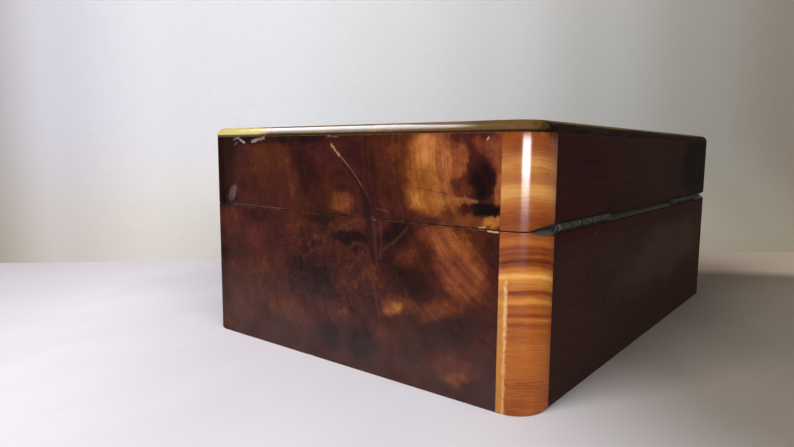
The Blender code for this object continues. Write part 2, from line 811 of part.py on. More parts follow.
def bolt_shapes():
    """The bolt's bar with its talon, and the two posts whose horns pass through the lugs."""
    half_lug = LUG_THICKNESS / 2
    tips = [x - half_lug - HORN_CLEARANCE for x in LUG_XS]
    roots = [tip - HORN_LENGTH for tip in tips]
    eye_middle = LID_RIM - LUG_LENGTH + EYE_RISE + EYE_HEIGHT / 2
    horn_low, horn_high = eye_middle - HORN_HEIGHT / 2, eye_middle + HORN_HEIGHT / 2
    bar_left = roots[0] - POST_WIDTH
    bar_right = BAY_HALF_LENGTH - BOLT_TRAVEL - LUG_CLEARANCE
    bar = [
        (bar_left, BOLT_FOOT),
        (-TALON_HALF_WIDTH, BOLT_FOOT),
        (-TALON_HALF_WIDTH, BOLT_FOOT + TALON_DEPTH),
        (TALON_HALF_WIDTH, BOLT_FOOT + TALON_DEPTH),
        (TALON_HALF_WIDTH, BOLT_FOOT),
        (bar_right, BOLT_FOOT),
        (bar_right, BOLT_TOP),
        (bar_left, BOLT_TOP),
    ]
    horns = []
    for tip, root in zip(tips, roots):
        horns.append(
            [
                (root - POST_WIDTH, BOLT_FOOT + BOLT_HEIGHT / 2),
                (root, BOLT_FOOT + BOLT_HEIGHT / 2),
                (root, horn_low),
                (tip, horn_low),
                (tip, horn_high),
                (root - POST_WIDTH, horn_high),
            ]
        )
    return bar, horns


bar_outline, horn_outlines = bolt_shapes()
lock_bolt = prism(
    "lock_bolt", bar_outline, BAY_FRONT + GLUE_GAP, CASE_BACK, "Y", LOCK_STEEL, BOLT_AXIS
)
horns = gather(
    "horns_guide",
    [
        prism_bmesh(outline, LUG_Y - HORN_WIDTH / 2, LUG_Y + HORN_WIDTH / 2, "Y")
        for outline in horn_outlines
    ],
)
change(lock_bolt, horns, "UNION")


def spring_outline():
    """A bowed strip between the selvedge and the bolt's bar."""
    high = SELVEDGE_FOOT - GLUE_GAP
    rise = high - BOLT_TOP - GLUE_GAP
    lower, upper = [], []
    for i in range(SPRING_STEPS + 1):
        share = i / SPRING_STEPS
        x = -SPRING_SHIFT + (2 * share - 1) * SPRING_HALF_LENGTH
        sag = (rise - SPRING_THICKNESS) * math.sin(math.pi * share)
        upper.append((x, high - sag))
        lower.append((x, high - sag - SPRING_THICKNESS))
    return lower + upper[::-1]


prism(
    "lock_spring",
    spring_outline(),
    LUG_Y - SPRING_WIDTH / 2,
    LUG_Y + SPRING_WIDTH / 2,
    "Y",
    LOCK_STEEL,
)

# The wall is cut for the selvedge, the plate and the case, and the veneer for the escutcheon
lock_room = GLUE_GAP
lock_mortise = prism(
    "lock_mortise_guide",
    [
        (LOCK_BACK + OVERRUN, PLATE_FOOT - lock_room),
        (LOCK_BACK + OVERRUN, BASE_RIM + OVERRUN),
        (CASE_FRONT - lock_room, BASE_RIM + OVERRUN),
        (CASE_FRONT - lock_room, SELVEDGE_FOOT - lock_room),
        (LOCK_PLATE_FRONT - lock_room, SELVEDGE_FOOT - lock_room),
        (LOCK_PLATE_FRONT - lock_room, PLATE_FOOT - lock_room),
    ],
    -LOCK_HALF_LENGTH - lock_room,
    LOCK_HALF_LENGTH + lock_room,
    "X",
)
case_mortise = block(
    "case_mortise_guide",
    (-LOCK_CASE_HALF_LENGTH - lock_room, LOCK_CASE_HALF_LENGTH + lock_room),
    (CASE_FRONT - lock_room, LOCK_BACK + OVERRUN),
    (CASE_FOOT - lock_room, BASE_RIM + OVERRUN),
)
cut([base_walls["front"]], lock_mortise, case_mortise, rim_holes, plate_holes)

escutcheon = prism(
    "escutcheon",
    keyhole_outline(ESCUTCHEON_RIM),
    -HALF_DEPTH,
    -HALF_DEPTH + VENEER,
    "Y",
    AGED_BRASS,
)
cut([escutcheon], keyhole)
escutcheon_seat = prism(
    "escutcheon_seat_guide",
    keyhole_outline(ESCUTCHEON_RIM + GLUE_GAP),
    -HALF_DEPTH - OVERRUN,
    -HALF_DEPTH + VENEER + GLUE_GAP / 2,
    "Y",
)
cut([base_veneers["front"]], escutcheon_seat)


# The link plate under the lid's front wall, with two lugs that drop into the lock

LINK_BACK = LOCK_BACK - LINK_MARGIN
LINK_FRONT = 2 * LUG_Y - LINK_BACK
link_plate = block(
    "link_plate",
    (-LINK_HALF_LENGTH, LINK_HALF_LENGTH),
    (LINK_FRONT, LINK_BACK),
    (LID_RIM, LID_RIM + SELVEDGE),
    AGED_BRASS,
    LID_AXIS,
)
lugs = gather(
    "lugs_guide",
    [
        prism_bmesh(
            rectangle(
                x - LUG_THICKNESS / 2,
                x + LUG_THICKNESS / 2,
                LUG_Y - LUG_WIDTH / 2,
                LUG_Y + LUG_WIDTH / 2,
            ),
            LID_RIM - LUG_LENGTH,
            LID_RIM + SELVEDGE / 2,
        )
        for x in LUG_XS
    ],
)
eyes = block(
    "eyes_guide",
    (-LINK_HALF_LENGTH, LINK_HALF_LENGTH),
    (LUG_Y - EYE_WIDTH / 2, LUG_Y + EYE_WIDTH / 2),
    (LID_RIM - LUG_LENGTH + EYE_RISE, LID_RIM - LUG_LENGTH + EYE_RISE + EYE_HEIGHT),
)
LINK_SCREW_X = LINK_HALF_LENGTH - LINK_SCREW_INSET
link_places = [Vector((x, LUG_Y, LID_RIM)) for x in (-LINK_SCREW_X, LINK_SCREW_X)]
link_holes = screw_holes("link_holes_guide", link_places, POINT_UP)
change(link_plate, lugs, "UNION")
cut([link_plate], eyes, link_holes)
link_mortise = block(
    "link_mortise_guide",
    (-LINK_HALF_LENGTH - lock_room, LINK_HALF_LENGTH + lock_room),
    (LINK_FRONT - lock_room, LINK_BACK + lock_room),
    (LID_RIM - OVERRUN, LID_RIM + SELVEDGE + lock_room),
)
cut([lid_walls["front"]], link_mortise, link_holes)
screws("link_plate_screw", link_places, POINT_UP, LID_AXIS)


# Paper on card, folded to an open tray inside the base and another inside the lid

TRAY_X = INNER_HALF_LENGTH - GLUE_GAP
TRAY_Y = INNER_HALF_DEPTH - GLUE_GAP


def lining(name, closed_level, open_level, parent=None):
    """A thin open tray that lines the walls, with its closed side on the board."""
    inwards = math.copysign(LINING, open_level - closed_level)
    overrun = math.copysign(OVERRUN, inwards)
    tray = block(
        name,
        (-TRAY_X, TRAY_X),
        (-TRAY_Y, TRAY_Y),
        sorted((closed_level, open_level)),
        LINING_PAPER,
        parent,
    )
    hollow = block(
        f"{name}_guide",
        (LINING - TRAY_X, TRAY_X - LINING),
        (LINING - TRAY_Y, TRAY_Y - LINING),
        sorted((closed_level + inwards, open_level + overrun)),
    )
    cut([tray], hollow)
    return tray


base_lining = lining("base_lining", BASE_WALL_FOOT, BASE_RIM - LINING_BELOW_RIM)
lining("lid_lining", LID_WALL_TOP, LID_RIM + LINING_BELOW_RIM, LID_AXIS)
lock_window = block(
    "lock_window_guide",
    (-LOCK_HALF_LENGTH - GLUE_GAP, LOCK_HALF_LENGTH + GLUE_GAP),
    (-INNER_HALF_DEPTH - OVERRUN, -INNER_HALF_DEPTH + OVERRUN),
    (PLATE_FOOT - GLUE_GAP, BASE_RIM + OVERRUN),
)
cut([base_lining], lock_window)
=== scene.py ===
# %% [markdown]
# A veneered wooden box with a hinged lid, dressed around its imported model.
# The model gives every piece its true size and place, in metres, with the origin in the middle of
# the underside, the lock at the front (-Y), the hinges at the back (+Y) and Z up. This lesson adds
# what a cabinet maker's hand and a hundred years of use add: the figure of the veneer, the polish,
# soft arrises, cracks and chips, tarnished brass. The first cell loads the model and reads the
# sizes of its pieces.

# %% Load the imported box
import json
import math

import bmesh
import bpy
from mathutils import Matrix, Vector


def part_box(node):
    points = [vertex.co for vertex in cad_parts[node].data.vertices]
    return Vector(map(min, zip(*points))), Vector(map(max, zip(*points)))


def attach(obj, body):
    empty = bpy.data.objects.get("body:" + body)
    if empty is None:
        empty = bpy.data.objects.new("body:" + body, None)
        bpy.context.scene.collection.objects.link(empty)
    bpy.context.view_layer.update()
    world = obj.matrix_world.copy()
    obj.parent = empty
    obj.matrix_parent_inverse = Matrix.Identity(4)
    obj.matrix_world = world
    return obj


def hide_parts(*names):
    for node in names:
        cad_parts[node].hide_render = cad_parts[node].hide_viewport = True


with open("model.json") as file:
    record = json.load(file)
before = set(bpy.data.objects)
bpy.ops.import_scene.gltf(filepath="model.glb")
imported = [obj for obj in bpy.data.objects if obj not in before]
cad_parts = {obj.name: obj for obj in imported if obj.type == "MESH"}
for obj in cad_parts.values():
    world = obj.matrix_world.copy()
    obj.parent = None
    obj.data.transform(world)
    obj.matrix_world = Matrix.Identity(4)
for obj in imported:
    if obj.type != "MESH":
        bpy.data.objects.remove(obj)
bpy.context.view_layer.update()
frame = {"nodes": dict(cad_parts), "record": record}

MM = 0.001
HALF_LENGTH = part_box("base_right_veneer")[1].x
HALF_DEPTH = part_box("base_back_veneer")[1].y
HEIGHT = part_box("lid_top_banding")[1].z
BASE_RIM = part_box("base_right_veneer")[1].z
LID_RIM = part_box("lid_right_veneer")[0].z
SEAM = (BASE_RIM + LID_RIM) / 2
BAND_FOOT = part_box("lid_top_banding")[0].z
print("half length, half depth, height, seam:", HALF_LENGTH, HALF_DEPTH, HEIGHT, SEAM)

# %% [markdown]
# The camera stands low, near the box's back right corner, a little below the level of the lid's
# top. Its place, its direction and its lens were found by fitting the box's own edges to a picture
# of such a box. A camera looks along its own -Z, so it is first tipped up from looking straight
# down, then turned to its direction, and the roll is the smallest turn of the three.

# %% Camera
CAMERA_PLACE = (0.3677, 0.2101, 0.1095)
CAMERA_YAW = 218.503
CAMERA_PITCH = 6.885
CAMERA_ROLL = 0.351
CAMERA_LENS = 27.094

camera_data = bpy.data.cameras.new("camera")
camera_data.lens = CAMERA_LENS
camera_data.sensor_width = 36
camera_data.clip_start = 0.01
camera = bpy.data.objects.new("camera", camera_data)
turn = Matrix.Rotation(math.radians(CAMERA_YAW - 90), 4, "Z")
tip = Matrix.Rotation(math.radians(90 - CAMERA_PITCH), 4, "X")
roll = Matrix.Rotation(math.radians(CAMERA_ROLL), 4, "Z")
camera.matrix_world = Matrix.Translation(CAMERA_PLACE) @ turn @ tip @ roll
bpy.context.scene.collection.objects.link(camera)
bpy.context.scene.camera = camera
print("camera at", tuple(round(value, 3) for value in camera.location))

# %% [markdown]
# Materials are built from nodes by code. What comes out of a node is kept as a Flow, which knows
# its node tree and can be added, multiplied and so on like a number, so that a pattern reads as a
# sum and every sign in it becomes a Math node. The helpers add the other kinds of node that the
# finishes use. Colours are written as linear light, as the renderer works with them.

# %% Node helpers


class Flow:
    """What flows out of a node. Sums are written as with numbers, and each adds a Math node."""

    def __init__(self, socket):
        self.socket = socket
        self.tree = socket.id_data

    def __add__(self, other):
        return maths("ADD", self, other)

    def __sub__(self, other):
        return maths("SUBTRACT", self, other)

    def __rsub__(self, other):
        return maths("SUBTRACT", other, self)

    def __mul__(self, other):
        return maths("MULTIPLY", self, other)

    def __truediv__(self, other):
        return maths("DIVIDE", self, other)

    def __pow__(self, other):
        return maths("POWER", self, other)

    def __abs__(self):
        return maths("ABSOLUTE", self)


def feed(target, value):
    """Links a flow to an input, or sets the input's own value."""
    if isinstance(value, Flow):
        value.tree.links.new(value.socket, target)
    elif target.type == "RGBA" and len(value) == 3:
        target.default_value = (*value, 1.0)
    else:
        target.default_value = value


def flows(node):
    """All that flows out of a node, by name."""
    return {socket.name: Flow(socket) for socket in node.outputs}


def set_up(kind, inputs, **settings):
    """Adds a node beside the flows that feed it, with its settings, and its inputs by name or number."""
    tree = next(value.tree for value in inputs.values() if isinstance(value, Flow))
    made = tree.nodes.new("ShaderNode" + kind)
    for name, value in settings.items():
        setattr(made, name, value)
    for name, value in inputs.items():
        feed(made.inputs[name], value)
    return made


def add_node(kind, inputs, output=0, **settings):
    """Sets up a node, and hands back one of its flows."""
    return Flow(set_up(kind, inputs, **settings).outputs[output])


def use_group(group, inputs):
    """Places a node group, and hands back all its flows."""
    return flows(set_up("Group", inputs, node_tree=group))


def maths(operation, *values):
    """One Math node."""
    return add_node("Math", dict(enumerate(values)), operation=operation)


def extreme(operation, values):
    """The lowest or the highest of several values, by MINIMUM or MAXIMUM."""
    found = values[0]
    for value in values[1:]:
        found = maths(operation, found, value)
    return found


def vectors(operation, first, second=None):
    """One Vector Math node: it gives a vector, or a number for a length or a dot product."""
    inputs = {0: first}
    if second is not None:
        inputs["Scale" if operation == "SCALE" else 1] = second
    output = "Value" if operation in ("LENGTH", "DOT_PRODUCT") else "Vector"
    return add_node("VectorMath", inputs, output, operation=operation)


def stretched(place, *shares):
    """Coordinates times a share for each axis: a small share draws a pattern out along that axis."""
    return vectors("MULTIPLY", place, shares)


def axes(place):
    """The X, Y and Z of a place."""
    return flows(set_up("SeparateXYZ", {0: place}))


def joined(x=0.0, y=0.0, z=0.0):
    """A place made of its X, Y and Z."""
    return add_node("CombineXYZ", {"X": x, "Y": y, "Z": z})


def soft_step(value, start, end, low=0.0, high=1.0):
    """Goes smoothly from low to high as the value goes from start to end."""
    inputs = {"Value": value, 1: start, 2: end, 3: low, 4: high}
    return add_node("MapRange", inputs, interpolation_type="SMOOTHSTEP")


def noise(place, scale=1.0, detail=2.0, roughness=0.5, distortion=0.0):
    """A cloudy pattern between 0 and 1."""
    inputs = {"Vector": place, "Scale": scale, "Detail": detail}
    return add_node("TexNoise", {**inputs, "Roughness": roughness, "Distortion": distortion})


def drift(place, scale, reach, detail=1.0):
    """A shift in a random direction, by up to half of the reach."""
    shift = add_node("TexNoise", {"Vector": place, "Scale": scale, "Detail": detail}, "Color")
    return vectors("SCALE", vectors("SUBTRACT", shift, (0.5, 0.5, 0.5)), reach)


def mix_numbers(factor, first, second):
    """Goes from the first number to the second."""
    return add_node("Mix", {0: factor, 2: first, 3: second}, data_type="FLOAT")


def mix_colours(factor, first, second, blend="MIX"):
    """Goes from the first colour to the second, or to the two multiplied."""
    inputs = {0: factor, 6: first, 7: second}
    return add_node("Mix", inputs, 2, data_type="RGBA", blend_type=blend)


def lay_over(colour, *layers):
    """Lays colours over a colour, each by its own mask, the last on top."""
    for mask, tint in layers:
        colour = mix_colours(mask, colour, tint)
    return colour


def colour_ramp(value, stops, smooth=True):
    """Reads a colour from a ramp of (place, colour) stops, given in rising order."""
    made = set_up("ValToRGB", {0: value})
    made.color_ramp.interpolation = "EASE" if smooth else "LINEAR"
    points = made.color_ramp.elements
    for point, (place, colour) in zip(points, (stops[0], stops[-1])):
        point.position = place
        point.color = (*colour, 1.0)
    for place, colour in stops[1:-1]:
        points.new(place).color = (*colour, 1.0)
    return Flow(made.outputs[0])


def new_group(name, inputs, outputs):
    """An empty node group, the flows given to it, and the inputs of its result."""
    tree = bpy.data.node_groups.new(name, "ShaderNodeTree")
    kinds = {"value": "NodeSocketFloat", "vector": "NodeSocketVector", "colour": "NodeSocketColor"}
    for direction, sockets in (("INPUT", inputs), ("OUTPUT", outputs)):
        for socket, kind in sockets.items():
            tree.interface.new_socket(socket, in_out=direction, socket_type=kinds[kind])
    return tree, flows(tree.nodes.new("NodeGroupInput")), tree.nodes.new("NodeGroupOutput").inputs


def new_material(name):
    """A material, its Principled shader, and the place in millimetres that patterns read."""
    material = bpy.data.materials.new(name)
    material.use_nodes = True
    tree = material.node_tree
    place = flows(tree.nodes.new("ShaderNodeTexCoord"))["Object"]
    return material, tree.nodes["Principled BSDF"], vectors("SCALE", place, 1 / MM)


def finish(shader, colour, roughness, values, height=None, bump=0.02, strength=0.5):
    """Gives the shader its colour and roughness, other values by name, and relief in millimetres."""
    feed(shader.inputs["Base Color"], colour)
    feed(shader.inputs["Roughness"], roughness)
    for name, value in values.items():
        feed(shader.inputs[name], value)
    if height is not None:
        relief = {"Height": height, "Strength": strength, "Distance": bump * MM}
        feed(shader.inputs["Normal"], add_node("Bump", relief))


# %% [markdown]
# The box stands on a plain pale table, with a plain pale wall close behind its far corner. The wall
# is a single sheet that only the camera sees, and only from its face, so that the box can be looked
# at and lit from the other side as well. Table and wall are painted darker towards the hinge side,
# a painted fall-off of light away from a window. On the table this is also a painted shadow of the
# box beside its back, with a painted lit strip past the shadow's edge. The wall's foot is painted
# warmer, and lighter towards the hinge side, as painted light. Far from the box the table fades into
# the pale room, so that no edge of it shows. They belong to the stage and not to the object.

# %% Table and wall


def seen_ray(tree):
    """1 for what the camera sees, in a mirror or through glass too, and 0 for light that falls."""
    rays = flows(tree.nodes.new("ShaderNodeLightPath"))
    kinds = ("Is Camera Ray", "Is Glossy Ray", "Is Transmission Ray")
    return extreme("MAXIMUM", [rays[kind] for kind in kinds])


# Colours by the distance along the wall from the middle of the box, in millimetres
# The table's tones fall from pale to dark towards the hinge side: a painted shadow of the box and a
# painted fall-off of light
FLOOR_TONES_PAINTED_SHADOW = [
    (-420, (0.70, 0.67, 0.73)),
    (-270, (0.89, 0.87, 0.95)),
    (-150, (0.77, 0.75, 0.83)),
    (-75, (0.70, 0.70, 0.76)),
    (70, (0.245, 0.218, 0.190)),
    (140, (0.215, 0.190, 0.160)),
    (420, (0.25, 0.195, 0.135)),
]
# Painted light: the strip of table past the edge of the painted shadow
FLOOR_PAINTED_LIGHT = (0.60, 0.50, 0.42)
# The wall's tones grow darker towards the hinge side: a painted fall-off of light
WALL_TONES_PAINTED_FALLOFF = [
    (-440, (0.36, 0.35, 0.35)),
    (-370, (0.55, 0.56, 0.62)),
    (-270, (0.70, 0.72, 0.77)),
    (-140, (0.75, 0.79, 0.83)),
    (-40, (0.73, 0.765, 0.80)),
    (62, (0.66, 0.69, 0.72)),
    (169, (0.50, 0.52, 0.52)),
    (280, (0.375, 0.378, 0.36)),
    (380, (0.30, 0.28, 0.245)),
]
# Painted light: the warm tint at the wall's foot
WALL_FOOT_PAINTED_TINT = (1.0, 0.94, 0.80)
WALL_FOOT_RISE = 150.0
TONES_RUN = (-450.0, 450.0)
WALL_DISTANCE = 0.2
WALL_AZIMUTH = 45.0
DIAGONAL = math.sqrt(0.5)
ALONG_WALL = (-DIAGONAL, DIAGONAL, 0)
OUT_FROM_WALL = (DIAGONAL, DIAGONAL, 0)
WALL_SIZE = (4.0, 1.5)
FLOOR_SIZE = 12.0
FLOOR_FADE = (500.0, 1500.0)
FLOOR_DROP = 0.05 * MM
FLOOR_CLOUDS = (0.50, 0.42, 0.42)
WALL_CLOUDS = (0.45, 0.43, 0.36)
ROOM_SEEN = (0.50, 0.49, 0.48)
MATT = {"Specular IOR Level": 0.0}


def tones_along(along, tones):
    """Reads a colour from tones given at distances along the wall."""
    start, end = TONES_RUN
    share = add_node("MapRange", {"Value": along, 1: start, 2: end})
    return colour_ramp(share, [((distance - start) / (end - start), tone) for distance, tone in tones])


def show(material, factor, first, second):
    """Makes a mix of two shaders the material's surface."""
    both = {1: Flow(first.outputs[0]), 2: Flow(second.outputs[0])}
    surface = material.node_tree.nodes["Material Output"].inputs["Surface"]
    feed(surface, add_node("MixShader", {0: factor, **both}))


floor_material, shader, place = new_material("pale_table")
tree = floor_material.node_tree
along = vectors("DOT_PRODUCT", place, ALONG_WALL)
outward = vectors("DOT_PRODUCT", place, OUT_FROM_WALL)
cloud = noise(stretched(place, 1.0, 2.2, 1.0), 0.008, 5, 0.6)
# The strip of table past the painted shadow's edge, painted lighter
past_painted_shadow = soft_step(along * -0.3 + outward, -154.0, -196.0) * soft_step(along, 40.0, 160.0, 0.0, 0.9)
floor_colour = lay_over(
    tones_along(along, FLOOR_TONES_PAINTED_SHADOW),
    (soft_step(cloud, 0.3, 0.7, 0.0, 0.10), FLOOR_CLOUDS),
    (past_painted_shadow, FLOOR_PAINTED_LIGHT),
)
finish(shader, floor_colour, 0.8, MATT)
room = tree.nodes.new("ShaderNodeEmission")
feed(room.inputs["Color"], ROOM_SEEN)
far = soft_step(vectors("LENGTH", place), *FLOOR_FADE)
show(floor_material, far * seen_ray(tree), shader, room)

wall_material, shader, place = new_material("pale_wall")
tree = wall_material.node_tree
parts = axes(place)
foot = -WALL_SIZE[1] / 2 / MM
# Painted light at the wall's foot: towards the hinge side it reads lighter tones, and it is tinted warm
low = soft_step(parts["Y"], foot, foot + WALL_FOOT_RISE, 1.0, 0.0)
foot_painted_light = maths("MAXIMUM", parts["X"], 0.0) * (low * 0.28)
wall_colour = tones_along(parts["X"] - foot_painted_light, WALL_TONES_PAINTED_FALLOFF)
wall_colour = mix_colours(low, wall_colour, WALL_FOOT_PAINTED_TINT, "MULTIPLY")
plaster = noise(place, 0.12, 4, 0.6)
wall_colour = lay_over(wall_colour, (soft_step(plaster, 0.3, 0.7, 0.0, 0.05), WALL_CLOUDS))
finish(shader, wall_colour, 0.9, MATT)
behind = flows(tree.nodes.new("ShaderNodeNewGeometry"))["Backfacing"]
show(wall_material, behind, shader, tree.nodes.new("ShaderNodeBsdfTransparent"))

bpy.ops.object.select_all(action="DESELECT")
bpy.ops.mesh.primitive_plane_add(size=FLOOR_SIZE, location=(0, 0, -FLOOR_DROP))
floor = bpy.context.object
floor.name = "floor"
floor.data.materials.append(floor_material)

wall_turn = math.radians(WALL_AZIMUTH)
away = Vector((math.cos(wall_turn), math.sin(wall_turn), 0))
bpy.ops.mesh.primitive_plane_add(
    size=1,
    location=Vector((0, 0, WALL_SIZE[1] / 2)) - WALL_DISTANCE * away,
    rotation=(math.pi / 2, 0, wall_turn + math.pi / 2),
)
wall = bpy.context.object
wall.name = "wall"
wall.scale = (*WALL_SIZE, 1)
bpy.ops.object.transform_apply(location=False, rotation=False, scale=True)
wall.data.materials.append(wall_material)
wall.visible_shadow = wall.visible_diffuse = wall.visible_glossy = False
print("wall faces", tuple(round(value, 2) for value in wall.matrix_world.to_3x3() @ Vector((0, 0, 1))))

# %% [markdown]
# One soft key light stands to the left of the camera, so that the right end is lit fully. A weaker
# one to its right fills the back, and a wide one overhead fills the shadows; neither of these two
# is mirrored in the polish. Polish only comes alive when it has something bright to mirror, so two
# reflectors are seen by the polish alone: one low beside the camera, for the upright gleam on the
# round corner, and one high beyond the front, for the long line of light on the round top edge. The
# room around is pale to the camera and in reflections, and gives only a little warm light of its
# own. The node Light Path tells these kinds of ray apart.

# %% Lights
ROOM_LIGHT = (0.10, 0.085, 0.070)
# Each lamp: its place and size in metres, watts, colour, and the kind of ray that doesn't see it
LAMPS = {
    "key": ((1.28, -0.22, 1.11), (0.7, 0.7), 24.0, (1.0, 0.985, 0.99), None),
    "fill": ((0.65, 1.45, 0.85), (1.0, 0.8), 13.0, (1.0, 0.95, 0.90), "visible_glossy"),
    "overhead": ((-0.3, 0.0, 2.3), (2.5, 2.5), 6.0, (1.0, 0.97, 0.94), "visible_glossy"),
    "gleam": ((0.78, 0.72, 0.102), (0.40, 0.085), 12.0, (0.92, 0.93, 1.0), "visible_diffuse"),
    "skylight": ((0.50, -1.0, 0.95), (1.3, 1.0), 42.0, (0.96, 0.96, 1.0), "visible_diffuse"),
}
LAMPS_FACE = Vector((0.1, 0.03, 0.08))

for name, (place, size, watts, colour, unseen_by) in LAMPS.items():
    lamp = bpy.data.lights.new(name, "AREA")
    lamp.shape = "RECTANGLE"
    lamp.size, lamp.size_y = size
    lamp.energy = watts
    lamp.color = colour
    made = bpy.data.objects.new(name, lamp)
    made.location = place
    made.rotation_euler = (LAMPS_FACE - Vector(place)).to_track_quat("-Z", "Y").to_euler()
    made.visible_camera = False
    if unseen_by:
        setattr(made, unseen_by, False)
    bpy.context.scene.collection.objects.link(made)

world = bpy.data.worlds.new("room")
world.use_nodes = True
room_colour = mix_colours(seen_ray(world.node_tree), ROOM_LIGHT, ROOM_SEEN)
feed(world.node_tree.nodes["Background"].inputs["Color"], room_colour)
bpy.context.scene.world = world
bpy.context.scene.view_settings.view_transform = "Standard"

# %% [markdown]
# Several finishes share a few effects, so each effect is a node group, built once. "patch" is a
# soft-edged oval laid at a place, turned and stretched: figure in wood is mostly such clouds of
# light and dark. "stroke" is a soft line between two points, for cracks and scuffs. "arris_wear"
# finds the edges along the foot, the seam and the top of the sides, where hands rub the colour
# away. "dust" gathers in hollows beside the seam.

# %% Shared effects
# A patch has faded out at this many times its half length and half width
PATCH_REACH = 1.25
OVAL = {"Vector": "vector", "Centre": "vector", "Turn": "vector", "Reach": "vector"}
LINE = {"Vector": "vector", "From": "vector", "To": "vector", "Width": "value"}
BESIDE = {"Vector": "vector", "Reach": "value"}
MASK = {"Mask": "value"}

patch_group, given, result = new_group("patch", OVAL, MASK)
inputs = {"Vector": given["Vector"], "Location": given["Centre"]}
inputs |= {"Rotation": given["Turn"], "Scale": given["Reach"]}
local = add_node("Mapping", inputs, vector_type="TEXTURE")
feed(result["Mask"], soft_step(vectors("LENGTH", local), PATCH_REACH, 0.45))

stroke_group, given, result = new_group("stroke", LINE, MASK)
along = vectors("SUBTRACT", given["To"], given["From"])
reach = vectors("SUBTRACT", given["Vector"], given["From"])
share = vectors("DOT_PRODUCT", reach, along) / vectors("DOT_PRODUCT", along, along)
share = maths("MINIMUM", maths("MAXIMUM", share, 0.0), 1.0)
gap = vectors("LENGTH", vectors("SUBTRACT", reach, vectors("SCALE", along, share)))
feed(result["Mask"], soft_step(gap / given["Width"], 1.3, 0.4))

wear_group, given, result = new_group("arris_wear", BESIDE, MASK)
height = axes(given["Vector"])["Z"]
nearest = extreme("MINIMUM", [abs(height - level) for level in (0.0, SEAM / MM, BAND_FOOT / MM)])
ragged = noise(given["Vector"], 0.35, 4, 0.65)
feed(result["Mask"], soft_step(ragged * 2.6 - nearest / given["Reach"], 0.55, 1.0))

dust_group, given, result = new_group("dust", BESIDE, MASK)
from_seam = abs(axes(given["Vector"])["Z"] - SEAM / MM)
flecks = soft_step(noise(given["Vector"], 0.9, 5, 0.7), 0.35, 0.7)
feed(result["Mask"], soft_step(from_seam, given["Reach"], 0.0) * flecks)
print("groups:", [group.name for group in bpy.data.node_groups])


def rubbed_arrises(place, reach):
    """The mask of the worn edges."""
    return use_group(wear_group, {"Vector": place, "Reach": reach})["Mask"]


# %% [markdown]
# The ends, the front and the top are veneered in flame walnut with patches of burr: leaves sliced
# from the fork of a tree, where the grain fans out like a flame. The figure is laid as a
# grainer would paint it: soft patches, each with its own tone, on coordinates that are bent by
# noise so that no patch keeps a clean outline. Streaks then follow arcs about a point outside the
# leaf. They are strong where the wood is pale and faint where it is dark. The burr has curls, pale
# strands and dark crumbs, and near the foot the grain turns up like the barbs of a feather. Last
# come pores, and a drift of the hue between purple and olive.

# %% Flame walnut figure
WALNUT_TONES = [
    (0.00, (0.0040, 0.0014, 0.0012)),
    (0.15, (0.0115, 0.0030, 0.0024)),
    (0.30, (0.0300, 0.0062, 0.0038)),
    (0.45, (0.0600, 0.0125, 0.0056)),
    (0.60, (0.1200, 0.0290, 0.0085)),
    (0.75, (0.2350, 0.0700, 0.0150)),
    (0.90, (0.3950, 0.1450, 0.0300)),
    (1.00, (0.5400, 0.2350, 0.0600)),
]
GROUND_TONE = 0.375

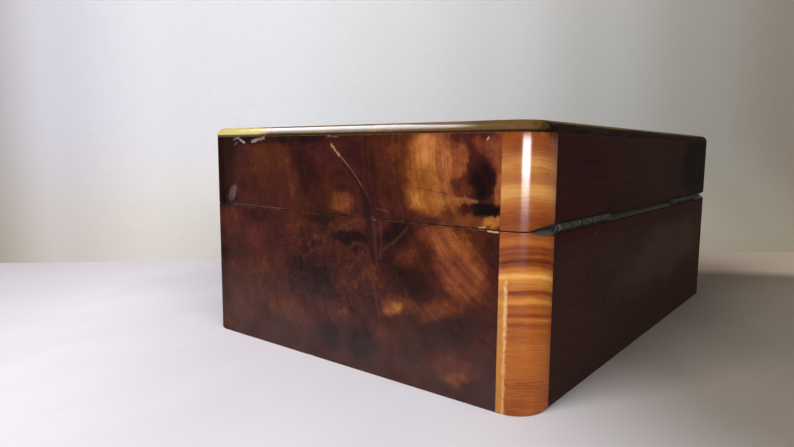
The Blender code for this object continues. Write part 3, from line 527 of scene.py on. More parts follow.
# Each patch: across and up from the leaf's lower left corner, half length, half width, turn in
# degrees, and its tone. Millimetres. Later patches lie over earlier ones.
END_FIGURE = [
    (57, 104, 30, 12, -8, 0.48),
    (62, 92, 26, 12, -20, 0.43),
    (36, 92, 10, 8, 30, 0.33),
    (30, 102, 14, 7, 10, 0.41),
    (76, 117, 24, 4.5, 0, 0.16),
    (86, 99, 22, 9, -56, 0.24),
    (93, 87, 12, 6, -60, 0.32),
    (32, 117, 24, 4.0, 0, 0.16),
    (9, 98, 26, 4.5, 90, 0.10),
    (18, 83, 9, 6, 20, 0.16),
    (106, 93, 10, 8, -30, 0.38),
    (112, 84, 9, 6.5, 15, 0.66),
    (126, 103, 20, 9, -52, 0.31),
    (130, 88, 12, 7, -60, 0.33),
    (147, 106, 15, 15, 0, 0.47),
    (148, 89, 10, 7, 0, 0.42),
    (159, 104, 10, 15, 0, 0.60),
    (167, 89, 16, 9, 0, 0.77),
    (166, 107, 14, 14, 0, 0.82),
    (164, 110, 8, 6, 70, 0.90),
    (172, 99, 9, 5, 60, 0.76),
    (180, 106, 9, 5, 85, 0.72),
    (180, 115.5, 9, 2.6, -12, 0.46),
    (181, 94, 5, 4, 0, 0.50),
    (191.5, 97.4, 7.2, 6.8, 80, 0.10),
    (195, 112, 10, 5, 0, 0.62),
    (199.5, 108, 9, 4.5, 90, 0.68),
    (200.8, 93, 12, 3.6, 90, 0.74),
    (183, 88.6, 9, 2.1, 0, 0.74),
    (194.5, 86, 8, 3.4, -5, 0.02),
    (185, 80.6, 15, 3.2, 0, 0.60),
    (198, 80.4, 7, 2.8, 8, 0.84),
    (19, 69, 12, 9, 0, 0.48),
    (43, 61, 13, 10, 0, 0.44),
    (50, 74, 20, 4, 0, 0.30),
    (77, 71, 9, 6, 0, 0.44),
    (99, 74.5, 14, 3.8, 0, 0.26),
    (102, 64, 12, 6, 0, 0.43),
    (84, 60, 14, 5, 0, 0.34),
    (14, 47.5, 9, 6, 0, 0.22),
    (35, 42, 16, 7, 0, 0.46),
    (57, 46, 15, 12, 0, 0.42),
    (90, 43, 20, 12, 0, 0.24),
    (30, 20, 24, 14, 30, 0.46),
    (70, 22.5, 22, 9, -8, 0.51),
    (84, 7, 30, 6, 0, 0.36),
    (104, 14, 12, 8, 0, 0.22),
    (14.5, 5, 6, 4, 20, 0.56),
    (116, 74, 10, 3.0, 5, 0.46),
    (117, 67.2, 15, 3.6, 2, 0.12),
    (146, 72.5, 11, 6.5, 30, 0.20),
    (141, 63, 8, 5, -40, 0.30),
    (152, 61, 8, 5, 30, 0.47),
    (154, 50, 13, 9, -15, 0.21),
    (122, 48, 16, 15, 0, 0.42),
    (147, 36, 13, 6, 20, 0.58),
    (145, 34.5, 7, 3.0, 25, 0.80),
    (170, 38, 15, 6, 8, 0.60),
    (183, 56, 20, 14, -50, 0.64),
    (176, 71.5, 17, 7, -12, 0.72),
    (195, 40, 11, 10, 40, 0.40),
    (177, 30, 28, 7, 24, 0.26),
    (179, 13.5, 13, 7, 10, 0.54),
    (181, 10, 9, 3.0, 12, 0.68),
    (124, 14.5, 11, 9, 0, 0.14),
    (141, 20, 9, 6, -20, 0.46),
    (110, 27, 10, 5, 0, 0.46),
    (152, 7, 16, 5, 0, 0.40),
    (198, 68, 8, 5, 90, 0.34),
    (188, 3.0, 16, 2.6, 0, 0.36),
]
# The place that the streaks circle, and the middle of the burr with its reach
END_FAN = (230, 112)
END_BURR = (104, 50, 46, 30)
# The foot of the leaf, where the grain turns up like the barbs of a feather
FEATHERED = (46, 26, 66, 36)
FEATHERS_RUN = (0.42, 0.91, 0)
FEATHERS_LIE = (0.91, -0.42, 0)
STREAK_WIDTH = 0.8
STREAK_LENGTH = 60.0
FLAME_REACH = 80.0
BENDS = ((0.030, 5.0), (0.11, 6.0), (0.45, 3.0))
# How much each kind of figure adds to the tone. Pairs hold what it adds everywhere, and how much
# more in the burr. The streaks' pair is for dark and for pale wood.
STREAKS = (0.16, 0.32)
BROAD_STREAKS = 0.32
RIPPLES = 0.14
CLOUDS = 0.48
CURLS = (0.20, 0.34)
STRANDS = (0.03, 0.09)
CRUMBS = (-0.03, -0.20)
FEATHERS = 0.30
PORES = -0.09
DARKENING = 0.012
PURPLE_TINT = (1.00, 0.95, 1.40)
OLIVE_TINT = (1.00, 1.10, 0.85)
BURR_TINT = (0.88, 1.04, 1.45)


def patch_mask(place, across, up, half_length, half_width, turn=0.0):
    """The mask of one soft patch."""
    inputs = {
        "Vector": place,
        "Centre": (across, up, 0),
        "Turn": (0, 0, math.radians(turn)),
        "Reach": (half_length, half_width, 1),
    }
    return use_group(patch_group, inputs)["Mask"]


def figure_group(name, figure, fan, burr):
    """A node group that turns a place on the leaf, in millimetres, into colour, gloss and relief."""
    results = {"Color": "colour", "Roughness": "value", "Height": "value"}
    tree, given, result = new_group(name, {"Vector": "vector", "Leaf": "value"}, results)
    place = vectors("ADD", given["Vector"], joined(z=given["Leaf"]))
    flat = stretched(given["Vector"], 1, 1, 0)
    bent = gently_bent = flat
    for scale, reach in BENDS:
        shift = drift(place, scale, reach)
        bent = vectors("ADD", bent, shift)
        gently_bent = vectors("ADD", gently_bent, vectors("SCALE", shift, 0.3))
    bent = stretched(bent, 1, 1, 0)

    tone = GROUND_TONE
    for *where, target in figure:
        tone = mix_numbers(patch_mask(bent, *where), tone, target)

    # Streaks along arcs about the fan's middle
    spoke = vectors("SUBTRACT", gently_bent, (*fan, 0))
    parts = axes(spoke)
    angle = maths("ARCTAN2", parts["Y"], parts["X"] * -1.0)
    radius = vectors("LENGTH", stretched(spoke, 1, 1, 0))
    grain = joined(radius / STREAK_WIDTH, angle * (FLAME_REACH / STREAK_LENGTH), given["Leaf"])
    flaming = soft_step(radius, 1.7 * FLAME_REACH, FLAME_REACH, 0.25, 1.0)
    streaks = noise(grain, 1.0, 4, 0.65) - 0.5
    tone = streaks * (soft_step(tone, 0.30, 0.80, *STREAKS) * flaming) + tone
    broad = (noise(stretched(grain, 0.22, 0.7, 1.0), 1.0, 3, 0.6) - 0.5) * flaming
    tone = broad * BROAD_STREAKS + tone
    ripples = noise(stretched(grain, 0.12, 9.0, 1.0), 1.0, 2, 0.5) - 0.5
    tone = ripples * RIPPLES + tone
    tone = (noise(place, 0.075, 7, 0.72) - 0.5) * CLOUDS + tone

    # Curls, strands and crumbs, strongest in the burr
    burl = patch_mask(flat, *burr)
    strands = noise(stretched(bent, 0.7, 1.3, 1), 0.11, 4, 0.62, 0.6)
    crumbs = noise(vectors("ADD", bent, (40, 0, 0)), 0.16, 6, 0.75)
    for pattern, (everywhere, in_burr) in (
        (noise(bent, 0.17, 6, 0.68, 0.7) - 0.5, CURLS),
        (soft_step(abs(strands - 0.5), 0.035, 0.0), STRANDS),
        (soft_step(crumbs, 0.53, 0.68), CRUMBS),
    ):
        tone = pattern * (burl * in_burr + everywhere) + tone
    lengthwise = vectors("DOT_PRODUCT", gently_bent, FEATHERS_RUN)
    crosswise = vectors("DOT_PRODUCT", gently_bent, FEATHERS_LIE)
    feathers = noise(joined(crosswise * 0.55, lengthwise * 0.07, given["Leaf"]), 1.0, 3, 0.6)
    tone = (feathers - 0.5) * patch_mask(flat, *FEATHERED) * FEATHERS + tone

    pores = soft_step(noise(stretched(grain, 3.2, 4.0, 1.0), 1.0, 2, 0.5), 0.58, 0.70)
    tone = pores * PORES + tone
    colour = colour_ramp(tone - DARKENING, WALNUT_TONES, smooth=False)
    tint = mix_colours(soft_step(noise(place, 0.022, 3), 0.38, 0.62), PURPLE_TINT, OLIVE_TINT)
    tint = mix_colours(burl * 0.7, tint, BURR_TINT)
    feed(result["Color"], mix_colours(1.0, colour, tint, "MULTIPLY"))
    feed(result["Roughness"], soft_step(noise(place, 0.05, 4, 0.6), 0.3, 0.75, 0.17, 0.22))
    feed(result["Height"], pores * -1.0)
    return tree


def reaching(figure, low, high):
    """Those patches of a figure that reach a sheet between two heights."""
    chosen = []
    for patch in figure:
        up, reach = patch[1], PATCH_REACH * max(patch[2:4])
        if low - reach < up < high + reach:
            chosen.append(patch)
    return chosen


END_SHEETS = {
    "base": reaching(END_FIGURE, 0, SEAM / MM),
    "lid": reaching(END_FIGURE, SEAM / MM, HEIGHT / MM),
}
end_figures = {
    part: figure_group(f"end_figure_{part}", patches, END_FAN, END_BURR)
    for part, patches in END_SHEETS.items()
}
print("end figures:", {part: len(patches) for part, patches in END_SHEETS.items()})

# %% [markdown]
# The front is one long leaf, and the top is book-matched: two leaves sliced one after the other
# and opened like a book, so that the flame meets its mirror image down the middle. Neither leaf
# needs as many patches as the end, which shows most.

# %% Front and top figures
FRONT_FIGURE = [
    (20, 60, 44, 16, 90, 0.30),
    (44, 92, 38, 14, -35, 0.50),
    (64, 44, 34, 13, -50, 0.28),
    (92, 76, 38, 14, 60, 0.58),
    (121, 60, 46, 15, 78, 0.76),
    (117, 74, 24, 8, 74, 0.88),
    (152, 66, 42, 14, 84, 0.27),
    (178, 84, 30, 11, 70, 0.34),
    (184, 40, 30, 13, 62, 0.56),
    (214, 66, 42, 13, 55, 0.24),
    (238, 86, 30, 12, 20, 0.58),
    (262, 44, 32, 13, 40, 0.50),
    (244, 22, 20, 7, 12, 0.24),
    (286, 86, 20, 6, 62, 0.28),
    (50, 24, 18, 7, 20, 0.22),
    (130, 12, 44, 7, 6, 0.26),
    (22, 100, 18, 10, 0, 0.44),
    (290, 30, 14, 20, 0, 0.40),
]
TOP_FIGURE = [
    (6, 108, 96, 10, 90, 0.66),
    (38, 144, 50, 14, 58, 0.68),
    (34, 80, 50, 12, 55, 0.22),
    (66, 120, 54, 14, 50, 0.20),
    (66, 68, 50, 15, 48, 0.66),
    (98, 104, 56, 14, 44, 0.50),
    (112, 42, 44, 16, 40, 0.22),
    (124, 154, 38, 16, 60, 0.18),
    (86, 182, 34, 10, 20, 0.56),
    (30, 24, 38, 14, 30, 0.24),
    (118, 96, 18, 5, 42, 0.15),
    (76, 28, 20, 5, 32, 0.15),
]
front_figure = figure_group("front_figure", FRONT_FIGURE, (150, -120), (60, 40, 54, 34))
top_figure = figure_group("top_figure", TOP_FIGURE, (-60, 260), (112, 74, 40, 64))
print("front and top figures:", len(FRONT_FIGURE), len(TOP_FIGURE), "patches")

# %% [markdown]
# Each walnut face lays its own leaf on its figure, and adds its own marks. On the right end a
# crack runs down from the top edge and on across the seam, with a sliver of filler in its upper
# part; there are pale scuffs under the top edge, a dull spot where the polish is gone, and a pale
# line along the seam, a painted highlight. Towards the front the end and its corner are darker,
# nearly black on the lid. Towards the foot every face grows paler in smears, partly dust and partly
# a painted reflection of the pale table. Cracks and chips are also cut in the mesh, and the colour
# there follows from the depth: what lies below the polish is raw or dirty wood. The gloss of French
# polish is a thin coat on a dull base, because the coat alone stays dark at a grazing angle, as the
# old polish does.

# %% Walnut materials
RAW_WOOD = (0.36, 0.20, 0.085)
RUBBED_WALNUT = (0.20, 0.105, 0.045)
DIRT = (0.018, 0.013, 0.010)
CHIP_DEPTH = (0.12, 0.22)

# Cracks and marks on the right end, as runs of points, half width, colour and strength
CRACK_POINTS = [(102.5, 116.5), (104, 113), (108, 109.5), (112, 106), (117, 101.5)]
CRACK_POINTS += [(121, 97.5), (125, 93), (130, 86), (132.5, 78)]
CRACK_BELOW = [(132.5, 77), (133.5, 66), (134.5, 58), (132.5, 48), (134.5, 36), (137, 29)]
END_MARKS = [
    ([(104.5, 112.8), (107.3, 109.9), (110.0, 107.4)], 0.75, (0.30, 0.155, 0.065), 0.9),
    (CRACK_POINTS[3:7], 0.45, (0.130, 0.068, 0.044), 0.60),
    (CRACK_POINTS[6:], 0.45, (0.100, 0.050, 0.034), 0.20),
    ([(113, 103), (120, 96.6), (127, 88.5), (131, 80)], 0.9, (0.012, 0.004, 0.004), 0.5),
    ([(125, 88), (128, 78.5)], 2.0, (0.014, 0.005, 0.004), 0.45),
    ([(129, 77), (130, 66), (133.5, 57)], 1.8, (0.012, 0.005, 0.004), 0.55),
    ([(133.5, 82.5), (141.5, 81.6)], 0.5, (0.17, 0.075, 0.035), 0.25),
    (CRACK_BELOW, 1.0, (0.080, 0.036, 0.026), 0.26),
    ([(136.8, 76), (137.6, 66), (136.5, 59)], 0.9, (0.085, 0.038, 0.026), 0.24),
    ([(107, 69.4), (123, 77.2)], 1.0, (0.110, 0.040, 0.024), 0.26),
    ([(137, 62), (146, 68), (153, 75)], 0.9, (0.100, 0.036, 0.024), 0.28),
    ([(157.5, 93.3), (166, 92.6), (174.5, 91.3)], 0.30, (0.06, 0.022, 0.010), 0.50),
    ([(24.8, 115.4), (27.5, 116.6), (30.0, 116.4)], 0.70, (0.38, 0.33, 0.34), 0.70),
    ([(31.2, 115.6), (35, 113.9)], 0.75, (0.38, 0.33, 0.34), 0.75),
    ([(26.0, 112.8), (28.2, 114.0)], 0.60, (0.32, 0.26, 0.27), 0.60),
    ([(42, 114.4), (45.5, 115.3)], 0.90, (0.30, 0.22, 0.21), 0.75),
    ([(46, 115.4), (52.5, 116.4)], 0.80, (0.26, 0.175, 0.155), 0.70),
    ([(101, 116.2), (104, 116.8), (109, 116.5)], 0.4, (0.16, 0.10, 0.065), 0.5),
    # A pale line along the seam: a painted highlight
    ([(20, 78.4), (44, 78.2), (69, 78.1)], 0.25, (0.13, 0.080, 0.070), 0.50),
    ([(195.0, 77.0), (199.6, 76.9)], 0.45, (0.50, 0.36, 0.18), 0.9),
    ([(190.5, 78.3), (193.5, 78.5)], 0.3, (0.42, 0.28, 0.14), 0.8),
    ([(193.6, 114.6), (194.2, 115.4)], 0.5, (0.40, 0.32, 0.27), 0.7),
    ([(176.5, 89.3), (184, 89.5), (189.5, 88.8)], 0.7, (0.22, 0.105, 0.040), 0.45),
]
WORN_SPOT = (22.5, 84.5, 6.2, 3.6, 52)
WORN_COLOUR = (0.150, 0.088, 0.078)
FOOT_DUST_AND_REFLECTION = (0.084, 0.064, 0.062)
FRONT_DARK = (0.0085, 0.0018, 0.0008)
FRONT_DARKENING = {"base": 0.15, "lid": 0.80}
POLISH_BLUR = 0.17
ROUND_MIDDLE = Vector((0.1385, 0.094))
ROUND = 0.014
ROUND_RUN = ROUND / MM * math.pi / 2


def round_the_corner(place):
    """How far a point lies round a corner, from the end of the box to its long side, and its height."""
    parts = axes(place)
    across = abs(parts["X"]) - ROUND_MIDDLE.x / MM
    back = abs(parts["Y"]) - ROUND_MIDDLE.y / MM
    angle = maths("ARCTAN2", maths("MAXIMUM", back, 0.0), maths("MAXIMUM", across, 0.0))
    run = angle * (ROUND / MM) + maths("MINIMUM", back, 0.0)
    return run - maths("MINIMUM", across, 0.0), parts["Z"]


def leaf_on_end(place):
    """Millimetres across and up the leaf, on either end."""
    parts = axes(place)
    return joined(parts["Y"] + HALF_DEPTH / MM, parts["Z"])


def leaf_on_corner(place):
    """The end's own leaf carried on round its front corner."""
    run, height = round_the_corner(place)
    return joined((HALF_DEPTH - ROUND_MIDDLE.y) / MM - run, height)


def leaf_on_front(place):
    """Millimetres across and up the leaf, on the front."""
    parts = axes(place)
    return joined(parts["X"] + HALF_LENGTH / MM, parts["Z"])


def leaf_on_top(place):
    """Millimetres from the middle and from the front, the same on both halves of the top."""
    parts = axes(place)
    return joined(abs(parts["X"]), parts["Y"] + HALF_DEPTH / MM)


def add_marks(colour, place, marks):
    """Lays lines of colour along runs of points, each a little ragged."""
    shaken = stretched(vectors("ADD", place, drift(place, 0.55, 1.6, 3.0)), 1, 1, 0)
    for points, width, tint, strength in marks:
        masks = []
        for start, end in zip(points, points[1:]):
            inputs = {"Vector": shaken, "From": (*start, 0), "To": (*end, 0), "Width": width}
            masks.append(use_group(stroke_group, inputs)["Mask"])
        colour = mix_colours(extreme("MAXIMUM", masks) * strength, colour, tint)
    return colour


def add_worn_spot(colour, roughness, place):
    """The dull mottled spot where the polish is gone."""
    spot = patch_mask(vectors("ADD", place, drift(place, 0.35, 3.0)), *WORN_SPOT)
    worn = spot * soft_step(noise(place, 0.7, 4, 0.65), 0.30, 0.62, 0.35, 1.0)
    return mix_colours(worn, colour, WORN_COLOUR), worn * 0.3 + roughness


def raw_below(colour, place, axis, surface):
    """Shows dirty raw wood wherever the surface lies deeper than the polish."""
    parts = axes(place)
    deep = soft_step(surface - abs(parts[axis]), *CHIP_DEPTH)
    dirty = soft_step(noise(place, 0.8, 4, 0.6), 0.4, 0.65)
    crack_foot = soft_step(parts["Z"], 96.0, 92.0) * soft_step(parts["Z"], 79.5, 81.0)
    dirty = maths("MAXIMUM", dirty, crack_foot * 0.85)
    return mix_colours(deep, colour, mix_colours(dirty, RAW_WOOD, DIRT)), deep


def walnut(name, figure, leaf, lay, chipped=None, marks=(), specular=0.0, coat=0.22, darker_front=0.0):
    """Flame walnut, laid on one part of the box."""
    material, shader, place = new_material(name)
    on_leaf = lay(place)
    wood = use_group(figure, {"Vector": on_leaf, "Leaf": leaf})
    colour, roughness = wood["Color"], wood["Roughness"]
    if marks:
        colour = add_marks(colour, on_leaf, marks)
        colour, roughness = add_worn_spot(colour, roughness, on_leaf)
    height = axes(place)["Z"]
    # Darker towards the front of the end and round its corner, nearly black on the lid
    if darker_front:
        reach = soft_step(height, 90.0, 116.0) * 9.0 + 26.0
        stain = soft_step(axes(on_leaf)["X"] - reach, 3.0, -12.0, 0.0, darker_front)
        colour = mix_colours(stain, colour, FRONT_DARK)
    smeared = soft_step(noise(place, 0.06, 4, 0.6), 0.25, 0.65, 0.5, 1.0)
    colour = lay_over(
        colour,
        # Paler towards the foot in smears: partly dust, partly a painted reflection of the pale table
        (soft_step(height, 60.0, 2.0, 0.0, 0.38) * smeared, FOOT_DUST_AND_REFLECTION),
        (rubbed_arrises(place, 0.5) * 0.45, RUBBED_WALNUT),
    )
    if chipped:
        colour, deep = raw_below(colour, place, *chipped)
        roughness = deep * 0.4 + roughness
    gloss = {"Specular IOR Level": specular, "Coat Weight": coat, "Coat Roughness": POLISH_BLUR}
    finish(shader, colour, roughness, gloss, wood["Height"])
    return material


def marks_on(low, high):
    """Those marks that reach a sheet between two heights."""
    return [mark for mark in END_MARKS if any(low < up < high for across, up in mark[0])]


RIGHT_MARKS = {"base": marks_on(0, 78.5), "lid": marks_on(76.5, HEIGHT / MM)}
END_FACE = ("X", HALF_LENGTH / MM)
FRONT_FACE = ("Y", HALF_DEPTH / MM)
# The leaves differ by a number, so that no two carry the same noise
RIGHT_LEAF = 0
FRONT_LEAF = 5
TOP_LEAF = 11
LEFT_LEAF = 37
front_walnut = walnut("flame_walnut_front", front_figure, FRONT_LEAF, leaf_on_front, FRONT_FACE)
top_walnut = walnut("flame_walnut_top", top_figure, TOP_LEAF, leaf_on_top)
woods = {}
for part, figure in end_figures.items():
    woods[part, "front"] = front_walnut
    bright = {"marks": RIGHT_MARKS[part], "specular": 0.06, "coat": 0.0, "darker_front": FRONT_DARKENING[part]}
    corner = {"coat": 0.08, "darker_front": FRONT_DARKENING[part]}
    for side, leaf, lay, details in (
        ("right", RIGHT_LEAF, leaf_on_end, {"chipped": END_FACE, **bright}),
        ("left", LEFT_LEAF, leaf_on_end, {"chipped": END_FACE}),
        ("front_right", RIGHT_LEAF, leaf_on_corner, corner),
        ("front_left", LEFT_LEAF, leaf_on_corner, {}),
    ):
        woods[part, side] = walnut(f"flame_walnut_{part}_{side}", figure, leaf, lay, **details)
print("walnut:", len(woods), "sheets and corners, and", top_walnut.name)

# %% [markdown]
# The back is plain dark veneer, nearly black, with straight grain along the box and a polish that
# has gone dull, with a pale haze low down, partly dull bloom and partly a painted reflection of the
# table. The straight grain is noise that is drawn out along X, with a finer mottle over it, and a
# few soft clouds lift or lower its tone: the lighter ones are a painted sheen, a broad reflection of
# the table and wall, and the dark ones at the far end are painted shade. The back left corner strip
# is the same wood, with its grain carried round the corner.

# %% Dark rosewood
ROSEWOOD_TONES = [
    (0.20, (0.0095, 0.0052, 0.0042)),
    (0.55, (0.0330, 0.0140, 0.0112)),
    (0.85, (0.0620, 0.0330, 0.0240)),
]
# Each cloud: along and up the back from the middle of its foot, half length, half width, turn, lift
# The lifts are a painted sheen; the two drops at the far end are painted shade
ROSEWOOD_PAINTED_SHEEN_AND_SHADE = [
    (-45, 46, 100, 22, -4, 0.36),
    (90, 45, 70, 40, 0, 0.10),
    (-128, 106, 62, 30, 0, -0.30),
    (-152, 40, 14, 60, 0, -0.24),
]
ROSEWOOD_PORES = (0.008, 0.004, 0.004)
ROSEWOOD_RUBBED = (0.10, 0.065, 0.045)
ROSEWOOD_BLOOM_AND_REFLECTION = (0.052, 0.041, 0.036)
ROSEWOOD_SPECKS = (0.28, 0.24, 0.20)
ROSEWOOD_PURPLE = (1.05, 0.80, 1.0)
ROSEWOOD_POLISH = {**MATT, "Coat Weight": 0.05, "Coat Roughness": 0.28}


def rosewood_finish(name, wrapped):
    """Dark rosewood on the back, or wrapped round its left corner."""
    material, shader, place = new_material(name)
    laid = place
    if wrapped:
        run, height = round_the_corner(place)
        laid = joined(run - (ROUND_MIDDLE.x / MM + ROUND_RUN), HALF_DEPTH / MM, height)
    parts = axes(laid)
    bands = soft_step(noise(stretched(laid, 0.012, 0.3, 0.55), 1.0, 5, 0.6, 0.6), 0.1, 0.9, 0.40, 0.58)
    mottle = noise(stretched(laid, 0.55, 1, 0.30), 1.0, 6, 0.75) - 0.5
    cloud = noise(laid, 0.03, 4, 0.6)
    tone = (cloud - 0.5) * 0.35 + (mottle * 0.50 + bands)
    sheet = joined(parts["X"], parts["Z"])
    sheet = stretched(vectors("ADD", sheet, drift(sheet, 0.03, 24.0)), 1, 1, 0)
    for *where, lift in ROSEWOOD_PAINTED_SHEEN_AND_SHADE:
        tone = patch_mask(sheet, *where) * lift + tone
    purple = soft_step(cloud * 80.0 + parts["X"], 60.0, 150.0)
    colour = mix_colours(purple, colour_ramp(tone, ROSEWOOD_TONES), ROSEWOOD_PURPLE, "MULTIPLY")
    pores = soft_step(noise(stretched(laid, 1.1, 1, 2.6), 1.0, 3, 0.6), 0.58, 0.70)
    # A pale haze low down: partly dull bloom, partly a painted reflection of the table
    bloom_and_reflection = soft_step(parts["Z"], 78.0, 60.0, 0.0, 0.42) * soft_step(mottle, -0.16, 0.14, 0.4, 1.0)
    specks = soft_step(noise(laid, 0.42, 2, 0.4), 0.80, 0.83)
    colour = lay_over(
        colour,
        (pores * 0.4, ROSEWOOD_PORES),
        (rubbed_arrises(place, 0.5) * 0.35, ROSEWOOD_RUBBED),
        (bloom_and_reflection, ROSEWOOD_BLOOM_AND_REFLECTION),
        (specks * 0.6, ROSEWOOD_SPECKS),
    )
    smeared = soft_step(cloud, 0.3, 0.7, 0.40, 0.45)
    finish(shader, colour, smeared, ROSEWOOD_POLISH, pores * -1.0)
    return material


for part in ("base", "lid"):
    woods[part, "back"] = rosewood_finish(f"dark_rosewood_{part}", wrapped=False)
    woods[part, "back_left"] = rosewood_finish(f"dark_rosewood_{part}_corner", wrapped=True)
print("rosewood:", [wood.name for key, wood in woods.items() if key[1].startswith("back")])

# %% [markdown]
# The strip on the back right corner is a honey-coloured wood, laid with the grain across, so its
# year rings show as level bands of gold and red-brown. They are given as stops up the height
# of the box, and they bow a little over the round corner, as cross grain does where a strip is
# bent. Fine lines of gold and red run between them. The strip's foot has a paler sliver let in
# along its edge, an old repair, with a broken pale line beside it, and its top is darker in ragged
# patches. The part of the round that faces the back is painted lighter, painted light where the key
# light falls off, and the flat on the back is painted darker, painted shade. The banding round the
# top edge is the same wood, gone olive under old varnish. At the corners hands have worn it matt.
# At the front right corner it is painted bright yellow under a thin coat, a painted highlight.
# Where it turns round the back right corner it darkens. Along the back it is nearly black, and the
# top of its round is painted lighter, a painted highlight from above.

# %% Honey banding
HONEY_TONES = [
    (0.0, (0.085, 0.015, 0.004)),
    (0.3, (0.225, 0.052, 0.010)),
    (0.5, (0.365, 0.105, 0.019)),
    (0.75, (0.545, 0.220, 0.040)),
    (1.0, (0.740, 0.400, 0.105)),
]
# The tone at heights up the corner, in millimetres
LADDER = [
    (0, 0.36),
    (8, 0.40),
    (20, 0.47),
    (29, 0.55),
    (34, 0.44),
    (37, 0.49),
    (39, 0.38),
    (41.3, 0.62),
    (43.3, 0.26),
    (44.4, 0.48),
    (46.4, 0.42),
    (49, 0.74),
    (51, 0.52),
    (52.8, 0.22),
    (54.6, 0.62),
    (57, 0.68),
    (59.4, 0.96),
    (62, 0.62),
    (64.2, 0.30),
    (65.6, 0.08),
    (67.6, 0.40),
    (68.8, 0.16),
    (70, 0.34),
    (71, 0.22),
    (73, 0.50),
    (77, 0.36),
    (82, 0.24),
    (87, 0.42),
    (94.5, 0.76),
    (100, 0.48),
    (105, 0.62),
    (112, 0.34),
]
LADDER_TOP = 118.0
BOW_RISE = 1.6
BOW_MIDDLE = 0.45
SLIVER_EDGE = 1.9
SLIVER_TOP = 57.0
SLIVER_WOOD = (0.52, 0.24, 0.055)
PALE_LINE = (0.76, 0.48, 0.19)
PAINTED_LIGHT_TINT = (1.30, 1.32, 1.30)
TANNED_TINT = (1.02, 1.22, 1.75)
HONEY_SHADE = (0.22, 0.050, 0.008)
DARK_TOP = (0.050, 0.018, 0.008)
RUBBED_HONEY = (0.10, 0.045, 0.02)


def honey_colour(place, ladder_height, darker=0.0):
    """Bands, fine lines and flecks of cross-grained honey wood."""
    stops = [(height / LADDER_TOP, (tone, tone, tone)) for height, tone in LADDER]
    tone = colour_ramp(ladder_height / LADDER_TOP, stops)
    for thickness, strength in ((1.1, 0.30), (3.2, 0.26)):
        tone = (noise(stretched(place, 0.05, 0.05, thickness), 1, 3, 0.6) - 0.5) * strength + tone
    hairs = noise(stretched(place, 0.09, 0.09, 2.1), 1, 2, 0.5)
    tone = soft_step(hairs, 0.52, 0.66) * -0.08 + tone
    tone = (noise(place, 0.12, 3) - 0.5) * 0.20 + tone
    return colour_ramp(tone - darker, HONEY_TONES)


honey, shader, place = new_material("honey_banding")
run, height = round_the_corner(place)
share = run / ROUND_RUN
bow = abs((share - BOW_MIDDLE) / (1 - BOW_MIDDLE)) ** 2.0 * BOW_RISE
rung = height + bow + (noise(place, 0.13, 2) - 0.5) * 1.6
colour = honey_colour(joined(run, z=rung), rung)

# The sliver let in along the strip's foot, and the broken pale line beside it
from_edge = run - (noise(place, 0.28, 3) - 0.5 + SLIVER_EDGE)
low = soft_step(height, SLIVER_TOP + 1.0, SLIVER_TOP - 0.5)
width = soft_step(noise(place, 0.16, 3, 0.6), 0.42, 0.60, 0.9, 1.7)
broken = soft_step(noise(place, 0.5, 3, 0.6), 0.30, 0.60, 0.35, 1.0)
line = soft_step(abs(from_edge) / width, 1.0, 0.0) * low * broken
colour = lay_over(
    colour,
    (soft_step(from_edge, 0.35, 0.0) * low * 0.55, SLIVER_WOOD),
    (line * soft_step(height, 12.0, 40.0, 0.45, 0.80), PALE_LINE),
)
tanned = soft_step(height, 84.0, 92.0) * soft_step(height, 114.0, 108.0)
# Painted light: the part of the round that faces the back is lit up where the key light falls off
colour = mix_colours(soft_step(share, 0.25, 0.8), colour, PAINTED_LIGHT_TINT, "MULTIPLY")
colour = mix_colours(tanned, colour, TANNED_TINT, "MULTIPLY")
# Darker in ragged patches at the top of the strip, reaching lower at its back edge
top_darkness_foot = soft_step(share, 0.66, 1.10, 118.6, 113.0)
top_darkness = (noise(place, 0.50, 5, 0.7) - 0.5) * 22.0 + height - top_darkness_foot
colour = lay_over(
    colour,
    (soft_step(share, 0.95, 1.2, 0.0, 0.40), HONEY_SHADE),
    (soft_step(top_darkness, -1.5, 2.5) * 0.80, DARK_TOP),
    (rubbed_arrises(place, 0.35) * 0.5, RUBBED_HONEY),
)
smears = soft_step(noise(place, 0.06, 4, 0.6), 0.3, 0.75, 0.15, 0.20)
coat = soft_step(height, 113.5, 117.5, 0.42, 0.06)
gloss = {**MATT, "Coat Weight": coat, "Coat Roughness": POLISH_BLUR}
finish(shader, colour, smears, gloss, noise(place, 3.0, 2), bump=0.006)
woods["base", "back_right"] = woods["lid", "back_right"] = honey

# The same wood round the top edge
OLIVE_VARNISH = (0.102, 0.070, 0.026)
PAINTED_YELLOW_HIGHLIGHT = (0.57, 0.480, 0.160)
CORNER_DARK = (0.014, 0.009, 0.006)
JOINT_DIRT = (0.012, 0.008, 0.005)
edge_honey, shader, place = new_material("honey_edge")
parts = axes(place)
run = parts["X"] + parts["Y"]
colour = honey_colour(joined(parts["Z"], z=run), maths("PINGPONG", run, LADDER_TOP), 0.25)
handled = soft_step(abs(parts["X"]), 116.0, 132.0) * soft_step(abs(parts["Y"]), 67.0, 84.0)
fretted = noise(place, 0.12, 4, 0.65) * 40.0 + parts["Y"]
# Painted highlight: a bright yellow patch at the front right corner, where the coat is thinned
painted_highlight = soft_step(fretted, -30.0, -46.0) * soft_step(parts["X"], 122.0, 138.0)
patchy = soft_step(noise(place, 0.09, 4, 0.6), 0.30, 0.60, 0.55, 0.95)
